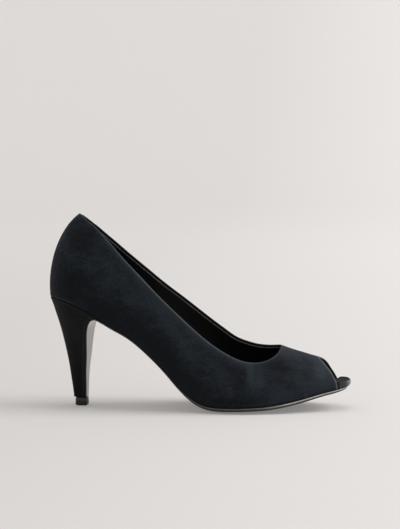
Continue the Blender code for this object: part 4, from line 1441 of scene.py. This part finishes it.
class SHOE_OT_stage(bpy.types.Operator):
    """Lay the floor, hang the lights and set up the camera"""
    bl_idname = "shoe.stage"
    bl_label = "Stage"

    def execute(self, context):
        stage = context.scene.pump_stage
        studio_bowl(floor_look("Studio paper", stage.floor, stage.glow))
        for name, place, aim, size, share in SHOE_LIGHTS:
            soft_light(name, place, aim, size, stage.key * share)
        for turn in WALL_TURNS:
            a = math.radians(turn)
            way = Vector((math.cos(a), math.sin(a), 0))
            soft_light("wall_light_%d" % turn, way * 1.7 + Vector((0, 0, 2.3)),
                       way * 3.5 + Vector((0, 0, 0.9)), (1.8, 0.8), stage.wall)
        world = bpy.data.worlds.new("Studio room")
        world.use_nodes = True
        back = world.node_tree.nodes["Background"]
        back.inputs["Color"].default_value = (1.0, 0.985, 0.97, 1)
        back.inputs["Strength"].default_value = stage.sky
        context.scene.world = world
        lens = bpy.data.cameras.new("Camera")
        lens.sensor_width = 36.0
        lens.lens = stage.lens
        lens.clip_end = 50.0
        camera = bpy.data.objects.new("Camera", lens)
        camera.location = CAMERA_PLACE
        aim = Vector(CAMERA_AIM) - camera.location
        camera.rotation_euler = aim.to_track_quat("-Z", "Y").to_euler()
        context.scene.collection.objects.link(camera)
        context.scene.camera = camera
        context.scene.view_settings.view_transform = "Standard"
        return {"FINISHED"}


class SHOE_PT_pump(bpy.types.Panel):
    """Sizes, colours and steps of the pump"""
    bl_idname = "SHOE_PT_pump"
    bl_label = "Peep Toe Pump"
    bl_space_type = "VIEW_3D"
    bl_region_type = "UI"
    bl_category = "Pump"

    def draw(self, context):
        layout = self.layout
        for label, group in (("Upper suede", "pump_suede"), ("Heel suede", "pump_heel"),
                             ("Insole lip", "pump_lip"), ("Trim", "pump_trim"),
                             ("Stage", "pump_stage")):
            box = layout.box()
            box.label(text=label)
            settings = getattr(context.scene, group)
            for name in settings.__annotations__:
                box.prop(settings, name)
        for step in STEPS:
            layout.operator(step.bl_idname)


STEPS = (SHOE_OT_upper, SHOE_OT_lining, SHOE_OT_stitches, SHOE_OT_insole, SHOE_OT_outsole,
         SHOE_OT_heel, SHOE_OT_tip, SHOE_OT_stage)
CLASSES = (SuedeSettings, TrimSettings, StageSettings) + STEPS + (SHOE_PT_pump,)
SCENE_GROUPS = (("pump_suede", SuedeSettings), ("pump_heel", SuedeSettings),
                ("pump_lip", SuedeSettings), ("pump_trim", TrimSettings),
                ("pump_stage", StageSettings))
GROUPS = {}


def groups():
    """The shader groups that several materials share, built once."""
    if not GROUPS:
        GROUPS.update(suede=suede_group(), grain=grain_group(), scuffs=scuff_group())
    return GROUPS


def register():
    for made in CLASSES:
        bpy.utils.register_class(made)
    for name, kind in SCENE_GROUPS:
        setattr(bpy.types.Scene, name, bpy.props.PointerProperty(type=kind))


def unregister():
    for name, _ in SCENE_GROUPS:
        delattr(bpy.types.Scene, name)
    for made in reversed(CLASSES):
        bpy.utils.unregister_class(made)


def main():
    register()
    heel = bpy.context.scene.pump_heel
    heel.deep, heel.light = (0.0028, 0.0031, 0.0034), (0.0073, 0.0082, 0.0088)
    heel.worn, heel.contrast, heel.patch = (0.024, 0.025, 0.026), 0.5, 120.0
    lip = bpy.context.scene.pump_lip
    lip.deep, lip.light = (0.0050, 0.0060, 0.0072), (0.0150, 0.0175, 0.0205)
    # The lip's worn colour is its rubbed wear and its painted highlight
    lip.worn, lip.contrast, lip.patch = (0.30, 0.34, 0.37), 0.8, 140.0
    for step in STEPS:
        category, name = step.bl_idname.split(".")
        getattr(getattr(bpy.ops, category), name)()


if __name__ == "__main__":
    main()
